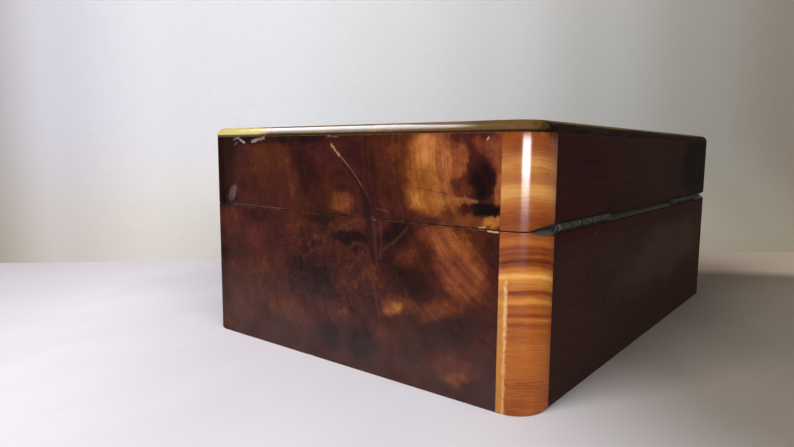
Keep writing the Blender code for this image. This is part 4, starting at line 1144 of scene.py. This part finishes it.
# Darker where the banding turns round the back right corner, most on the lower part of its round
corner_darkness = round_the_corner(place)[0] / ROUND_RUN + (noise(place, 0.25, 4, 0.6) - 0.5)
corner_darkness = soft_step(corner_darkness, 0.45, 0.95) * soft_step(parts["Y"], 94.0, 98.0)
corner_darkness = corner_darkness * soft_step(parts["Z"], 122.2, 121.2, 0.25, 1.0) * soft_step(parts["X"], 0.0, 1.0)
colour = lay_over(
    mix_colours(0.78, colour, OLIVE_VARNISH),
    (painted_highlight * patchy, PAINTED_YELLOW_HIGHLIGHT),
    (corner_darkness, CORNER_DARK),
    (soft_step(parts["Z"], 118.9, 118.2) * 0.85, JOINT_DIRT),
)
coat = (handled * -0.96 + 1.0) * soft_step(parts["Z"], 119.3, 120.6, 0.25, 1.0) * (painted_highlight * -0.78 + 1.0)
gloss = {**MATT, "Coat Weight": coat, "Coat Roughness": 0.10}
finish(shader, colour, 0.16, gloss, noise(place, 3.0, 2), bump=0.004)

BACK_TONES = [(0.3, (0.009, 0.0045, 0.0035)), (0.7, (0.026, 0.013, 0.010))]
BACK_PAINTED_HIGHLIGHT = (0.145, 0.112, 0.048)
back_honey, shader, place = new_material("honey_edge_back")
streaks = noise(stretched(place, 0.05, 0.6, 0.6), 1.0, 4, 0.6)
# Painted highlight: the top of the back banding's round is painted lighter, as if lit from above
rubbed_and_lit = soft_step(axes(place)["Z"] + streaks, 121.4, 122.5)
colour = lay_over(colour_ramp(streaks, BACK_TONES), (rubbed_and_lit * 0.85, BACK_PAINTED_HIGHLIGHT))
gloss = {**MATT, "Coat Weight": 0.05, "Coat Roughness": 0.3}
finish(shader, colour, 0.45, gloss, streaks)
print("banding:", honey.name, edge_honey.name, back_honey.name)

# %% [markdown]
# Under the veneers the carcase is mahogany, bare and grey with dust in the groove at the seam. The
# brass has gone dull and greenish brown. Its barrels, out in the groove, are nearly black with
# speckled grime, rubbed a little lighter, with dark joints between the knuckles; the far hinge's
# barrels are painted darker still, as painted shade. The lock's inside is steel. The lining is
# coloured paper, faded, with a fine tooth and a few stains.

# %% Carcase, brass, steel and paper
MAHOGANY_TONES = [
    (0.2, (0.075, 0.024, 0.011)),
    (0.5, (0.150, 0.052, 0.024)),
    (0.8, (0.215, 0.085, 0.040)),
]
MAHOGANY_PORES = (0.045, 0.015, 0.008)
GROOVE_GRIME = (0.020, 0.020, 0.016)
GROOVE_DUST = (0.11, 0.105, 0.09)
PALE_DUST = (0.135, 0.130, 0.115)
mahogany, shader, place = new_material("carcase_mahogany")
parts = axes(place)
bands = noise(stretched(place, 0.02, 0.5, 0.5), 1.0, 5, 0.6, 0.5)
pores = soft_step(noise(stretched(place, 0.35, 3.5, 3.5), 1.0, 2), 0.58, 0.68)
grimy = soft_step(parts["Y"], 102.5, 104.5)
dusty = use_group(dust_group, {"Vector": place, "Reach": 5.0})["Mask"]
flecks = soft_step(noise(place, 0.8, 4, 0.7), 0.3, 0.7, 0.2, 1.0)
colour = lay_over(
    colour_ramp(bands, MAHOGANY_TONES),
    (pores * 0.5, MAHOGANY_PORES),
    (grimy * 0.95, GROOVE_GRIME),
    (dusty * grimy * 0.25, GROOVE_DUST),
    (soft_step(parts["X"], 128.0, 134.0) * grimy * flecks, PALE_DUST),
)
finish(shader, colour, 0.55, {"Specular IOR Level": 0.2}, pores * -1.0)

HINGE_MIDDLES = (-84.75, 97.25)
KNUCKLE = 12.7
HINGE_END = 2.5 * KNUCKLE
BRASS_TONES = [
    (0.3, (0.075, 0.062, 0.035)),
    (0.5, (0.20, 0.155, 0.075)),
    (0.75, (0.42, 0.30, 0.12)),
]
VERDIGRIS = (0.070, 0.080, 0.055)
GRIME_TONES = ((0.009, 0.009, 0.007), (0.058, 0.057, 0.045))
RUBBED_GRIME = (0.13, 0.128, 0.10)
KNUCKLE_JOINT_AND_SHADE = (0.004, 0.004, 0.003)
PALE_END = (0.20, 0.195, 0.16)
brass, shader, place = new_material("aged_brass")
parts = axes(place)
blotch = noise(place, 0.35, 5, 0.65)
stain = soft_step(noise(place, 1.4, 4, 0.6), 0.42, 0.62)
speckled = soft_step(noise(place, 1.1, 5, 0.7), 0.35, 0.65)
rubbed_and_lit = soft_step(noise(place, 0.45, 3, 0.5), 0.60, 0.72)
right_hand = maths("GREATER_THAN", parts["X"], 0.0)
from_middle = parts["X"] - mix_numbers(right_hand, *HINGE_MIDDLES)
to_joint = maths("PINGPONG", from_middle + KNUCKLE / 2, KNUCKLE / 2)
grime = lay_over(
    mix_colours(speckled, *GRIME_TONES),
    (rubbed_and_lit * 0.7, RUBBED_GRIME),
    (soft_step(to_joint, 0.9, 0.2), KNUCKLE_JOINT_AND_SHADE),
    (soft_step(from_middle, HINGE_END - 2.2, HINGE_END - 1.4) * speckled, PALE_END),
    # Painted shade: the far hinge's barrels are darker still
    (soft_step(parts["X"], 0.0, -40.0, 0.0, 0.75), KNUCKLE_JOINT_AND_SHADE),
)
grimy = soft_step(parts["Y"], 102.0, 103.5)
colour = lay_over(colour_ramp(blotch, BRASS_TONES), (stain * 0.4, VERDIGRIS), (grimy, grime))
metal = soft_step(blotch, 0.25, 0.5, 0.65, 1.0) * (1.0 - grimy * 0.95)
dull = soft_step(blotch, 0.3, 0.7, 0.55, 0.28) + grimy * 0.25
scratches = noise(stretched(place, 0.5, 6, 6), 1.0, 2)
values = {"Metallic": metal, "Specular IOR Level": 0.15}
finish(shader, colour, dull, values, scratches, strength=0.3)

STEEL_TONES = [
    (0.3, (0.10, 0.085, 0.07)),
    (0.5, (0.24, 0.23, 0.21)),
    (0.8, (0.36, 0.35, 0.33)),
]
RUST = (0.10, 0.035, 0.012)
steel, shader, place = new_material("lock_steel")
rust = soft_step(noise(place, 0.9, 5, 0.7), 0.56, 0.68)
colour = lay_over(colour_ramp(noise(place, 0.3, 5, 0.65), STEEL_TONES), (rust * 0.6, RUST))
scratches = noise(stretched(place, 0.6, 5, 5), 1.0, 2)
dull = soft_step(rust, 0.0, 1.0, 0.38, 0.75)
finish(shader, colour, dull, {"Metallic": 1.0}, scratches, strength=0.3)

PAPER_TONES = ((0.030, 0.058, 0.100), (0.068, 0.104, 0.142))
PAPER_FIBRE = (0.11, 0.14, 0.17)
PAPER_STAIN = (0.060, 0.058, 0.045)
paper, shader, place = new_material("lining_paper")
fibre = noise(place, 1.6, 5, 0.7, 0.4)
fade = soft_step(noise(place, 0.018, 4, 0.6), 0.3, 0.7)
stain = soft_step(noise(place, 0.035, 5, 0.65), 0.60, 0.72)
colour = mix_colours(fade, *PAPER_TONES)
colour = lay_over(colour, (fibre * 0.35, PAPER_FIBRE), (stain * 0.4, PAPER_STAIN))
finish(shader, colour, 0.85, {"Specular IOR Level": 0.2}, fibre, bump=0.08, strength=0.6)
print("inside:", mahogany.name, brass.name, steel.name, paper.name)

# %% [markdown]
# New pieces are modelled as by hand: a primitive is added at its size and place, shaped in edit
# mode and finished with modifiers. These helpers start a piece, select by place or direction, draw
# out or spin what is selected, apply what is pending, and hand a finished piece to the body that it
# moves with.

# %% Modelling helpers
SHARP = math.radians(20)
STEEP = math.radians(60)
ROUND_STEPS = 24
DOUBLES = 0.001 * MM


def work_on(*pieces):
    """Selects only these pieces, in object mode."""
    leave_edit_mode()
    bpy.ops.object.select_all(action="DESELECT")
    for piece in pieces:
        piece.select_set(True)
    bpy.context.view_layer.objects.active = pieces[0]


def leave_edit_mode():
    """Goes back to object mode, where a piece is in edit mode."""
    if bpy.context.object is not None and bpy.context.object.mode != "OBJECT":
        bpy.ops.object.mode_set(mode="OBJECT")


def new_piece(name):
    """Names the primitive that was just added, and fixes its size and place in its mesh."""
    piece = bpy.context.object
    piece.name = piece.data.name = name
    bpy.ops.object.transform_apply(location=True, rotation=True, scale=True)
    return piece


def start_piece(add_primitive, name, scale=(1, 1, 1), **settings):
    """Adds a primitive with nothing else selected, and makes it a piece of this size."""
    bpy.ops.object.select_all(action="DESELECT")
    add_primitive(**settings)
    bpy.context.object.scale = scale
    return new_piece(name)


def choose(piece, kind, test):
    """Goes to edit mode and selects the vertices, edges or faces that pass with every corner."""
    work_on(piece)
    bpy.ops.object.mode_set(mode="EDIT")
    bpy.ops.mesh.select_mode(type=kind)
    bpy.ops.mesh.select_all(action="DESELECT")
    shape = bmesh.from_edit_mesh(piece.data)
    for part in {"VERT": shape.verts, "EDGE": shape.edges, "FACE": shape.faces}[kind]:
        corners = [part.co] if kind == "VERT" else [corner.co for corner in part.verts]
        part.select_set(all(test(corner) for corner in corners))
    shape.select_flush_mode()
    bmesh.update_edit_mesh(piece.data)


def choose_edges(piece, test):
    """Goes to edit mode and selects the edges whose two ends pass the test together."""
    choose(piece, "EDGE", lambda corner: True)
    shape = bmesh.from_edit_mesh(piece.data)
    for edge in shape.edges:
        edge.select_set(test(edge.verts[0].co, edge.verts[1].co))
    bmesh.update_edit_mesh(piece.data)


def draw_out(x=0, y=0, z=0):
    """Extrudes what is selected and moves it."""
    bpy.ops.mesh.extrude_region_move(TRANSFORM_OT_translate={"value": (x, y, z)})


def spin_corner():
    """Spins what is selected a quarter turn round the back right corner."""
    bpy.ops.mesh.spin(
        steps=ROUND_STEPS,
        angle=-math.pi / 2,
        center=(ROUND_MIDDLE.x, ROUND_MIDDLE.y, 0),
        axis=(0, 0, 1),
    )


def change(piece, kind, name="change", **settings):
    """Adds a modifier and applies it at once."""
    work_on(piece)
    modifier = piece.modifiers.new(name, kind)
    for setting, value in settings.items():
        setattr(modifier, setting, value)
    bpy.ops.object.modifier_apply(modifier=modifier.name)


def soften(piece, width, segments=2, limit=STEEP):
    """Rounds the arrises by a real bevel."""
    change(piece, "BEVEL", width=width, segments=segments, limit_method="ANGLE", angle_limit=limit)


def cut_with(piece, tool):
    """Cuts a piece with a tool and throws the tool away."""
    change(piece, "BOOLEAN", object=tool, operation="DIFFERENCE")
    bpy.data.objects.remove(tool)


def turn_outwards(piece):
    """Merges doubles and points all faces outwards."""
    choose(piece, "FACE", lambda corner: True)
    bpy.ops.mesh.select_all(action="SELECT")
    bpy.ops.mesh.remove_doubles(threshold=DOUBLES)
    bpy.ops.mesh.normals_make_consistent(inside=False)
    bpy.ops.object.mode_set(mode="OBJECT")


def duplicate(piece, name, scale=(1, 1, 1)):
    """A copy with its own mesh, which a negative scale mirrors."""
    work_on(piece)
    bpy.ops.object.duplicate(linked=False)
    bpy.context.object.scale = scale
    made = new_piece(name)
    if scale[0] * scale[1] * scale[2] < 0:
        turn_outwards(made)
    return made


def settle(piece, body, material, slot, *nodes):
    """Shades a finished piece, gives it its finish and lets it ride on its body."""
    work_on(piece)
    bpy.ops.object.transform_apply(location=True, rotation=True, scale=True)
    bpy.ops.object.shade_smooth_by_angle(angle=SHARP)
    piece.data.materials.clear()
    piece.data.materials.append(material)
    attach(piece, body)
    if nodes:
        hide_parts(*nodes)
    return piece


# %% [markdown]
# A sheet of veneer starts as a grid the size of its face, turned upright. A faint swell from a
# cloud texture keeps it from being dead flat, as hand-scraped veneer never is, so that reflections
# waver. Solidify gives it its thickness, and a fine bevel takes the sharpness off its arrises.
# The groove along the hinge side is cut with a three-sided bar.

# %% Veneer sheets
VENEER = 1.0 * MM
VENEER_ARRIS = 0.15 * MM
TIGHT_JOINT = 0.02 * MM
STRIP_ON_LONG_SIDES = 4.5 * MM
STRIP_ON_ENDS = 1.5 * MM
GROOVE_DEPTH = 4.7 * MM
GROOVE_HALF_HEIGHT = 2.75 * MM
GROOVE_OVERRUN = 4.0 * MM
CELL = 3.0 * MM
FOOT = 0.05 * MM
SWELL_SIZE = 0.035
SWELL = {"texture_coords": "LOCAL", "strength": 0.12 * MM, "mid_level": 0.8}
BODIES = {"base": "box", "lid": "lid"}


def cloud_texture(name, size, depth):
    """A cloudy texture for a Displace modifier."""
    made = bpy.data.textures.new(name, "CLOUDS")
    made.noise_scale = size
    made.noise_depth = depth
    return made


swell = cloud_texture("swell", SWELL_SIZE, 1)


def upright_grid(name, middle, width, height, azimuth, columns):
    """A grid on one side of the box: the azimuth is 0 at the front, 90 at the right, 180 at the back."""
    return start_piece(
        bpy.ops.mesh.primitive_grid_add,
        name,
        (width, height, 1),
        x_subdivisions=columns,
        y_subdivisions=round(height / CELL),
        size=1,
        location=middle,
        rotation=(math.pi / 2, 0, math.radians(azimuth)),
    )


def sheet_of_veneer(name, width, low, high, outer, azimuth):
    """A veneered face."""
    turn = math.radians(azimuth)
    middle = Vector((math.sin(turn) * outer, -math.cos(turn) * outer, (low + high) / 2))
    sheet = upright_grid(name, middle, width, high - low, azimuth, round(width / CELL))
    change(sheet, "DISPLACE", texture=swell, **SWELL)
    change(sheet, "SOLIDIFY", thickness=VENEER, offset=-1)
    return sheet


def groove_bar():
    """A three-sided bar with one edge at the bottom of the groove."""
    depth = GROOVE_DEPTH + GROOVE_OVERRUN
    half_height = GROOVE_HALF_HEIGHT * depth / GROOVE_DEPTH
    # The bar's corners lie at angles of 90, 210 and 330 degrees from X, one unit from its axis
    bar = start_piece(
        bpy.ops.mesh.primitive_cylinder_add,
        "groove_bar",
        (half_height / math.cos(math.pi / 6), depth / 1.5, 1),
        vertices=3,
        radius=1,
        depth=2 * (HALF_LENGTH + GROOVE_OVERRUN),
    )
    highest = max(corner.co.y for corner in bar.data.vertices)
    # The bar is laid along X, with its edge towards the front
    laid_down = Matrix(((0, 0, 1, 0), (0, -1, 0, 0), (1, 0, 0, 0), (0, 0, 0, 1)))
    bar.data.transform(Matrix.Translation((0, -highest, 0)))
    bar.data.transform(laid_down)
    bar.data.transform(Matrix.Translation((0, HALF_DEPTH - GROOVE_DEPTH, SEAM)))
    turn_outwards(bar)
    return bar


long_side = 2 * (ROUND_MIDDLE.x - STRIP_ON_LONG_SIDES - TIGHT_JOINT)
short_side = 2 * (ROUND_MIDDLE.y - STRIP_ON_ENDS - TIGHT_JOINT)
sides = {
    "front": (long_side, HALF_DEPTH, 0, "flame_walnut"),
    "right": (short_side, HALF_LENGTH, 90, "flame_walnut"),
    "back": (long_side, HALF_DEPTH, 180, "dark_rosewood"),
    "left": (short_side, HALF_LENGTH, 270, "flame_walnut"),
}
levels = {"base": (FOOT, BASE_RIM), "lid": (LID_RIM, BAND_FOOT - TIGHT_JOINT)}
veneers = {}
for part, (low, high) in levels.items():
    for side, (width, outer, azimuth, slot_name) in sides.items():
        sheet = sheet_of_veneer(f"{part}_{side}_sheet", width, low, high, outer, azimuth)
        if side == "back":
            cut_with(sheet, groove_bar())
        veneers[part, side] = sheet
print("veneers:", len(veneers))

# %% [markdown]
# The crack and the chips on the right end are cut in the sheets. A crack is a thin tube laid along
# the surface, a little thicker in its upper part, and subtracted. A chip is a small lump, knocked
# out of shape so that it leaves a ragged edge.

# %% Crack and chips
# The crack's half width at each of its points, in millimetres
CRACK_WIDTHS = [0.10, 0.22, 0.34, 0.24, 0.13, 0.11, 0.10, 0.10, 0.08]
# Each chip: the sheet, across and up from the leaf's lower left corner, and its size in millimetres
CHIPS = [
    ("base", 197.4, 77.3, (0.35, 2.3, 0.55)),
    ("base", 192.0, 77.3, (0.25, 1.4, 0.4)),
    ("lid", 192.4, 77.6, (0.25, 1.6, 0.45)),
    ("lid", 186.0, 77.7, (0.2, 1.2, 0.35)),
    ("base", 133.0, 77.3, (0.3, 0.9, 0.7)),
    ("lid", 131.8, 77.7, (0.3, 0.8, 0.6)),
    ("lid", 103.0, 117.4, (0.3, 1.3, 0.6)),
    ("base", 15.0, 0.0, (0.4, 2.2, 0.8)),
    ("base", 88.0, 0.0, (0.3, 3.0, 0.5)),
]
CRACK_UNIT = 1.0 * MM
RAGGED_SIZE = 0.0006
RAGGED = {"texture_coords": "GLOBAL", "strength": 0.5 * MM, "mid_level": 0.5}
ragged = cloud_texture("ragged", RAGGED_SIZE, 2)


def on_right_end(across, up):
    """The place of a point on the right end, from the leaf's own millimetres."""
    return Vector((HALF_LENGTH, across * MM - HALF_DEPTH, up * MM))


def crack_tool(name, points, widths):
    """A tube of changing thickness along the surface."""
    curve = bpy.data.curves.new(name, "CURVE")
    curve.dimensions = "3D"
    curve.bevel_depth = CRACK_UNIT
    curve.bevel_resolution = 2
    curve.use_fill_caps = True
    line = curve.splines.new("POLY")
    line.points.add(len(points) - 1)
    for point, (across, up), width in zip(line.points, points, widths):
        point.co = (*on_right_end(across, up), 1)
        point.radius = width
    made = bpy.data.objects.new(name, curve)
    bpy.context.scene.collection.objects.link(made)
    work_on(made)
    bpy.ops.object.convert(target="MESH")
    turn_outwards(bpy.context.object)
    return bpy.context.object


def chip_tool(name, across, up, size):
    """A ragged lump centred on the surface."""
    lump = start_piece(
        bpy.ops.mesh.primitive_ico_sphere_add,
        name,
        [part * MM for part in size],
        subdivisions=3,
        radius=1,
        location=on_right_end(across, up),
    )
    change(lump, "DISPLACE", texture=ragged, **RAGGED)
    return lump


cut_with(veneers["lid", "right"], crack_tool("crack", CRACK_POINTS, CRACK_WIDTHS))
for part, across, up, size in CHIPS:
    cut_with(veneers[part, "right"], chip_tool("chip", across, up, size))
for (part, side), sheet in veneers.items():
    soften(sheet, VENEER_ARRIS)
    settle(sheet, BODIES[part], woods[part, side], sides[side][3], f"{part}_{side}_veneer")
print("chips:", len(CHIPS))

# %% [markdown]
# A corner strip starts as the narrow flat on the end of the box. Its upright edge is spun a quarter
# turn round the corner and then drawn out along the back. The four corners are mirror images, so
# one strip is modelled for the base and one for the lid, and each is mirrored to the other corners.
# Only the back right corner is honey-coloured; the others match the faces beside them.

# %% Corner strips
# Each corner: how it is mirrored from the back right one, and its material slot
CORNERS = {
    "back_right": ((1, 1, 1), "honey_banding"),
    "back_left": ((-1, 1, 1), "dark_rosewood"),
    "front_right": ((1, -1, 1), "flame_walnut"),
    "front_left": ((-1, -1, 1), "flame_walnut"),
}


def corner_strip(name, low, high):
    """The strip on the back right corner, without the hinge groove."""
    flat_low = ROUND_MIDDLE.y - STRIP_ON_ENDS + TIGHT_JOINT
    middle = Vector((HALF_LENGTH, (flat_low + ROUND_MIDDLE.y) / 2, (low + high) / 2))
    strip = upright_grid(name, middle, ROUND_MIDDLE.y - flat_low, high - low, 90, 1)
    choose(strip, "EDGE", lambda corner: corner.y > ROUND_MIDDLE.y - TIGHT_JOINT)
    spin_corner()
    choose(strip, "EDGE", lambda corner: corner.y > HALF_DEPTH - TIGHT_JOINT / 2)
    draw_out(TIGHT_JOINT - STRIP_ON_LONG_SIDES)
    turn_outwards(strip)
    outward = strip.data.polygons[0].normal.x
    change(strip, "SOLIDIFY", thickness=VENEER, offset=-1 if outward > 0 else 1)
    turn_outwards(strip)
    return strip


for part, (low, high) in levels.items():
    model = corner_strip(f"{part}_strip_model", low, high)
    for corner, (scale, slot_name) in CORNERS.items():
        strip = duplicate(model, f"{part}_{corner}_corner", scale)
        if corner.startswith("back"):
            cut_with(strip, groove_bar())
        soften(strip, VENEER_ARRIS)
        settle(strip, BODIES[part], woods[part, corner], slot_name, f"{part}_{corner}_strip")
    bpy.data.objects.remove(model)
print("corner strips:", 2 * len(CORNERS))

# %% [markdown]
# The banding round the top edge is worked to a quarter round. Its section starts as a circle of
# which one quarter is kept, and the other corners of the section are drawn out from the quarter's
# ends. A straight length is the section drawn along the side, and a corner is the section spun
# round. The lengths are joined to one piece, as the ring is one piece in the model, but for the one
# along the back, which has its own darker finish.

# %% Top banding
BAND_ROUND = 4.5 * MM
BAND_WIDTH = 10.0 * MM
BAND_ARRIS = 0.08 * MM
BAND_STEEP = math.radians(50)
BAND_CIRCLE = 48
HAIR = 0.01 * MM


def band_section(name):
    """The banding's section on the right end, as one face, at the start of the back corner."""
    centre = Vector((HALF_LENGTH - BAND_ROUND, ROUND_MIDDLE.y, HEIGHT - BAND_ROUND))
    section = start_piece(
        bpy.ops.mesh.primitive_circle_add,
        name,
        vertices=BAND_CIRCLE,
        radius=BAND_ROUND,
        location=centre,
        rotation=(math.pi / 2, 0, 0),
    )
    choose(section, "VERT", lambda corner: corner.x < centre.x - HAIR or corner.z < centre.z - HAIR)
    bpy.ops.mesh.delete(type="VERT")
    choose(section, "VERT", lambda corner: corner.z > HEIGHT - HAIR)
    draw_out(x=BAND_ROUND - BAND_WIDTH)
    draw_out(z=BAND_FOOT - HEIGHT)
    draw_out(x=BAND_WIDTH)
    bpy.ops.mesh.select_all(action="SELECT")
    bpy.ops.mesh.edge_face_add()
    leave_edit_mode()
    return section


def straight_band(name, half_run):
    """A straight length on the right end."""
    band = band_section(name)
    band.data.transform(Matrix.Translation((0, half_run - ROUND_MIDDLE.y, 0)))
    choose(band, "FACE", lambda corner: True)
    draw_out(y=-2 * half_run)
    turn_outwards(band)
    return band


def corner_band(name):
    """The back right corner's length."""
    band = band_section(name)
    choose(band, "FACE", lambda corner: True)
    spin_corner()
    turn_outwards(band)
    return band


right_band = straight_band("band_right", ROUND_MIDDLE.y - TIGHT_JOINT)
left_band = duplicate(right_band, "band_left", (-1, 1, 1))
back_band = straight_band("back_edge_banding", ROUND_MIDDLE.x - TIGHT_JOINT)
back_band.data.transform(Matrix.Translation((HALF_DEPTH - HALF_LENGTH, 0, 0)))
back_band.data.transform(Matrix.Rotation(math.pi / 2, 4, "Z"))
front_band = duplicate(back_band, "band_front", (1, -1, 1))
near_corner = corner_band("band_corner")
other_corners = [corner for corner in CORNERS if corner != "back_right"]
corner_bands = [
    duplicate(near_corner, f"band_{corner}", CORNERS[corner][0]) for corner in other_corners
]
lengths = [right_band, left_band, front_band, near_corner, *corner_bands]
for length in (*lengths, back_band):
    soften(length, BAND_ARRIS, 1, BAND_STEEP)
work_on(*lengths)
bpy.ops.object.join()
banding = new_piece("top_edge_banding")
settle(banding, "lid", edge_honey, "honey_banding", "lid_top_banding")
settle(back_band, "lid", back_honey, "honey_banding", "lid_top_banding")
print("banding faces:", len(banding.data.polygons))

# %% [markdown]
# The top veneer lies inside the banding: a plate with round corners. A cube is flattened, its four
# upright edges are bevelled round, and the upper arris is eased.

# %% Top veneer
TOP_ARRIS = 0.1 * MM
inner_round = ROUND - BAND_WIDTH
inside_band = BAND_WIDTH + TIGHT_JOINT
top_sheet = start_piece(
    bpy.ops.mesh.primitive_cube_add,
    "top_sheet",
    (2 * (HALF_LENGTH - inside_band), 2 * (HALF_DEPTH - inside_band), VENEER),
    size=1,
    location=(0, 0, HEIGHT - VENEER / 2),
)
choose_edges(top_sheet, lambda first, second: abs(first.z - second.z) > VENEER / 2)
bpy.ops.mesh.bevel(offset=inner_round, segments=8)
soften(top_sheet, TOP_ARRIS)
settle(top_sheet, "lid", top_walnut, "flame_walnut", "lid_top_veneer")
print("top veneer corners round to", round(inner_round / MM, 1), "mm")

# %% [markdown]
# Many pieces already have their true shape in the model: carcase walls and boards with their
# recesses, hinge leaves with their knuckles, the parts of the lock. Only their arrises are dead
# sharp. A copy of each is merged from loose triangles to clean faces, and its edges are eased by a
# bevel, wide on wood and fine on metal.

# %% Eased copies of the model's pieces
WOOD_ARRIS = 0.3 * MM
METAL_ARRIS = 0.12 * MM
EASED_STEEP = math.radians(30)
MODEL_DOUBLES = 0.002 * MM
FLAT = math.radians(1.0)
RECORD = frame["record"]
BODY_OF = {node: body for body, members in RECORD["behaviour"]["bodies"].items() for node in members}
SLOT_OF = {part["node"]: part["material_slot"] for part in RECORD["subparts"]}
METALS = {"aged_brass": brass, "lock_steel": steel}


def eased_copy(node, material, width):
    """A merged copy of a node with eased arrises."""
    piece = bpy.data.objects.new(f"{node}_eased", frame["nodes"][node].data.copy())
    bpy.context.scene.collection.objects.link(piece)
    choose(piece, "FACE", lambda corner: True)
    bpy.ops.mesh.select_all(action="SELECT")
    bpy.ops.mesh.remove_doubles(threshold=MODEL_DOUBLES)
    bpy.ops.mesh.dissolve_limited(angle_limit=FLAT)
    soften(piece, width, limit=EASED_STEEP)
    settle(piece, BODY_OF[node], material, SLOT_OF[node], node)


for node, slot_name in SLOT_OF.items():
    if node.endswith(("wall", "board")):
        eased_copy(node, mahogany, WOOD_ARRIS)
    elif slot_name in METALS and "screw" not in node:
        eased_copy(node, METALS[slot_name], METAL_ARRIS)

# %% [markdown]
# A countersunk screw starts as a disc. Its rim is drawn down to the shank and on to the point, and
# a bar cuts the slot. One screw is modelled and set in all the places where the model has one, each
# turned a little differently, because no two slots line up.

# %% Screws
SCREW_HEAD = 1.8 * MM
SCREW_HEAD_DROP = 0.9 * MM
SCREW_SHANK = 0.9 * MM
SCREW_LENGTH = 5.5 * MM
SCREW_POINT = 0.15
SLOT_WIDTH = 0.5 * MM
SLOT_DEPTH = 0.45 * MM
SCREW_TURN = 1.3
SCREW_CIRCLE = 24
SCREW_ARRIS = 0.06 * MM
SCREW_STEEP = math.radians(40)


def model_screw():
    """One screw, head up, with the head's face at the origin."""
    add_disc = bpy.ops.mesh.primitive_circle_add
    disc = {"vertices": SCREW_CIRCLE, "radius": SCREW_HEAD, "fill_type": "NGON"}
    screw = start_piece(add_disc, "screw_model", **disc)
    choose(screw, "FACE", lambda corner: True)
    shank = SCREW_LENGTH - SCREW_HEAD_DROP - SCREW_SHANK
    steps = ((SCREW_HEAD_DROP, SCREW_SHANK / SCREW_HEAD), (shank, 1), (SCREW_SHANK, SCREW_POINT))
    for drop, share in steps:
        draw_out(z=-drop)
        bpy.ops.transform.resize(value=(share, share, 1))
    turn_outwards(screw)
    slot_size = (3 * SCREW_HEAD, SLOT_WIDTH, 2 * SLOT_DEPTH)
    cut_with(screw, start_piece(bpy.ops.mesh.primitive_cube_add, "slot_tool", slot_size, size=1))
    soften(screw, SCREW_ARRIS, 1, SCREW_STEEP)
    return screw


screw_model = model_screw()
screws = sorted(node for node in SLOT_OF if "screw" in node)
for number, node in enumerate(screws):
    low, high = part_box(node)
    middle = (low + high) / 2
    size = high - low
    if size.z > size.y:
        head_up = node.startswith("lock") or "base" in node
        place = Vector((middle.x, middle.y, high.z if head_up else low.z))
        facing = Matrix.Identity(4) if head_up else Matrix.Rotation(math.pi, 4, "X")
    else:
        place = Vector((middle.x, high.y, middle.z))
        facing = Matrix.Rotation(-math.pi / 2, 4, "X")
    screw = duplicate(screw_model, f"{node}_turned")
    turned = Matrix.Rotation(SCREW_TURN * number, 4, "Z")
    screw.data.transform(Matrix.Translation(place) @ facing @ turned)
    settle(screw, BODY_OF[node], brass, "aged_brass", node)
bpy.data.objects.remove(screw_model)
print("screws:", len(screws))

# %% [markdown]
# The lining is card covered with paper, folded up into a tray. Paper doesn't fold to a knife edge,
# so the tray's inner corners are bevelled round before it gets its thickness. The front of the
# lower tray is cut out for the lock's plate.

# %% Linings
PAPER = 0.8 * MM
FOLD = 1.2 * MM
WINDOW_GAP = 0.3 * MM
add_cube = bpy.ops.mesh.primitive_cube_add


def lining_tray(name, node, open_upwards):
    """A thin open tray that fills the node's box."""
    low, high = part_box(node)
    tray = start_piece(add_cube, name, high - low, size=1, location=(low + high) / 2)
    open_level = high.z if open_upwards else low.z
    choose(tray, "FACE", lambda corner: abs(corner.z - open_level) < PAPER)
    bpy.ops.mesh.delete(type="ONLY_FACE")
    choose_edges(tray, lambda *ends: any(abs(end.z - open_level) > PAPER for end in ends))
    bpy.ops.mesh.bevel(offset=FOLD, segments=4)
    change(tray, "SOLIDIFY", thickness=PAPER, offset=-1)
    return tray


base_tray = lining_tray("base_tray_lining", "base_lining", True)
plate_low, plate_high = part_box("lock_plate")
width = plate_high.x - plate_low.x + 2 * WINDOW_GAP
height = plate_high.z - plate_low.z + 2 * WINDOW_GAP + 2 * PAPER
middle = (0, plate_high.y, (plate_low.z + plate_high.z) / 2 + PAPER)
window = start_piece(add_cube, "window_tool", (width, 8 * PAPER, height), size=1, location=middle)
cut_with(base_tray, window)
settle(base_tray, "box", paper, "lining_paper", "base_lining")
lid_tray = lining_tray("lid_tray_lining", "lid_lining", False)
settle(lid_tray, "lid", paper, "lining_paper", "lid_lining")
print("linings:", base_tray.name, lid_tray.name)
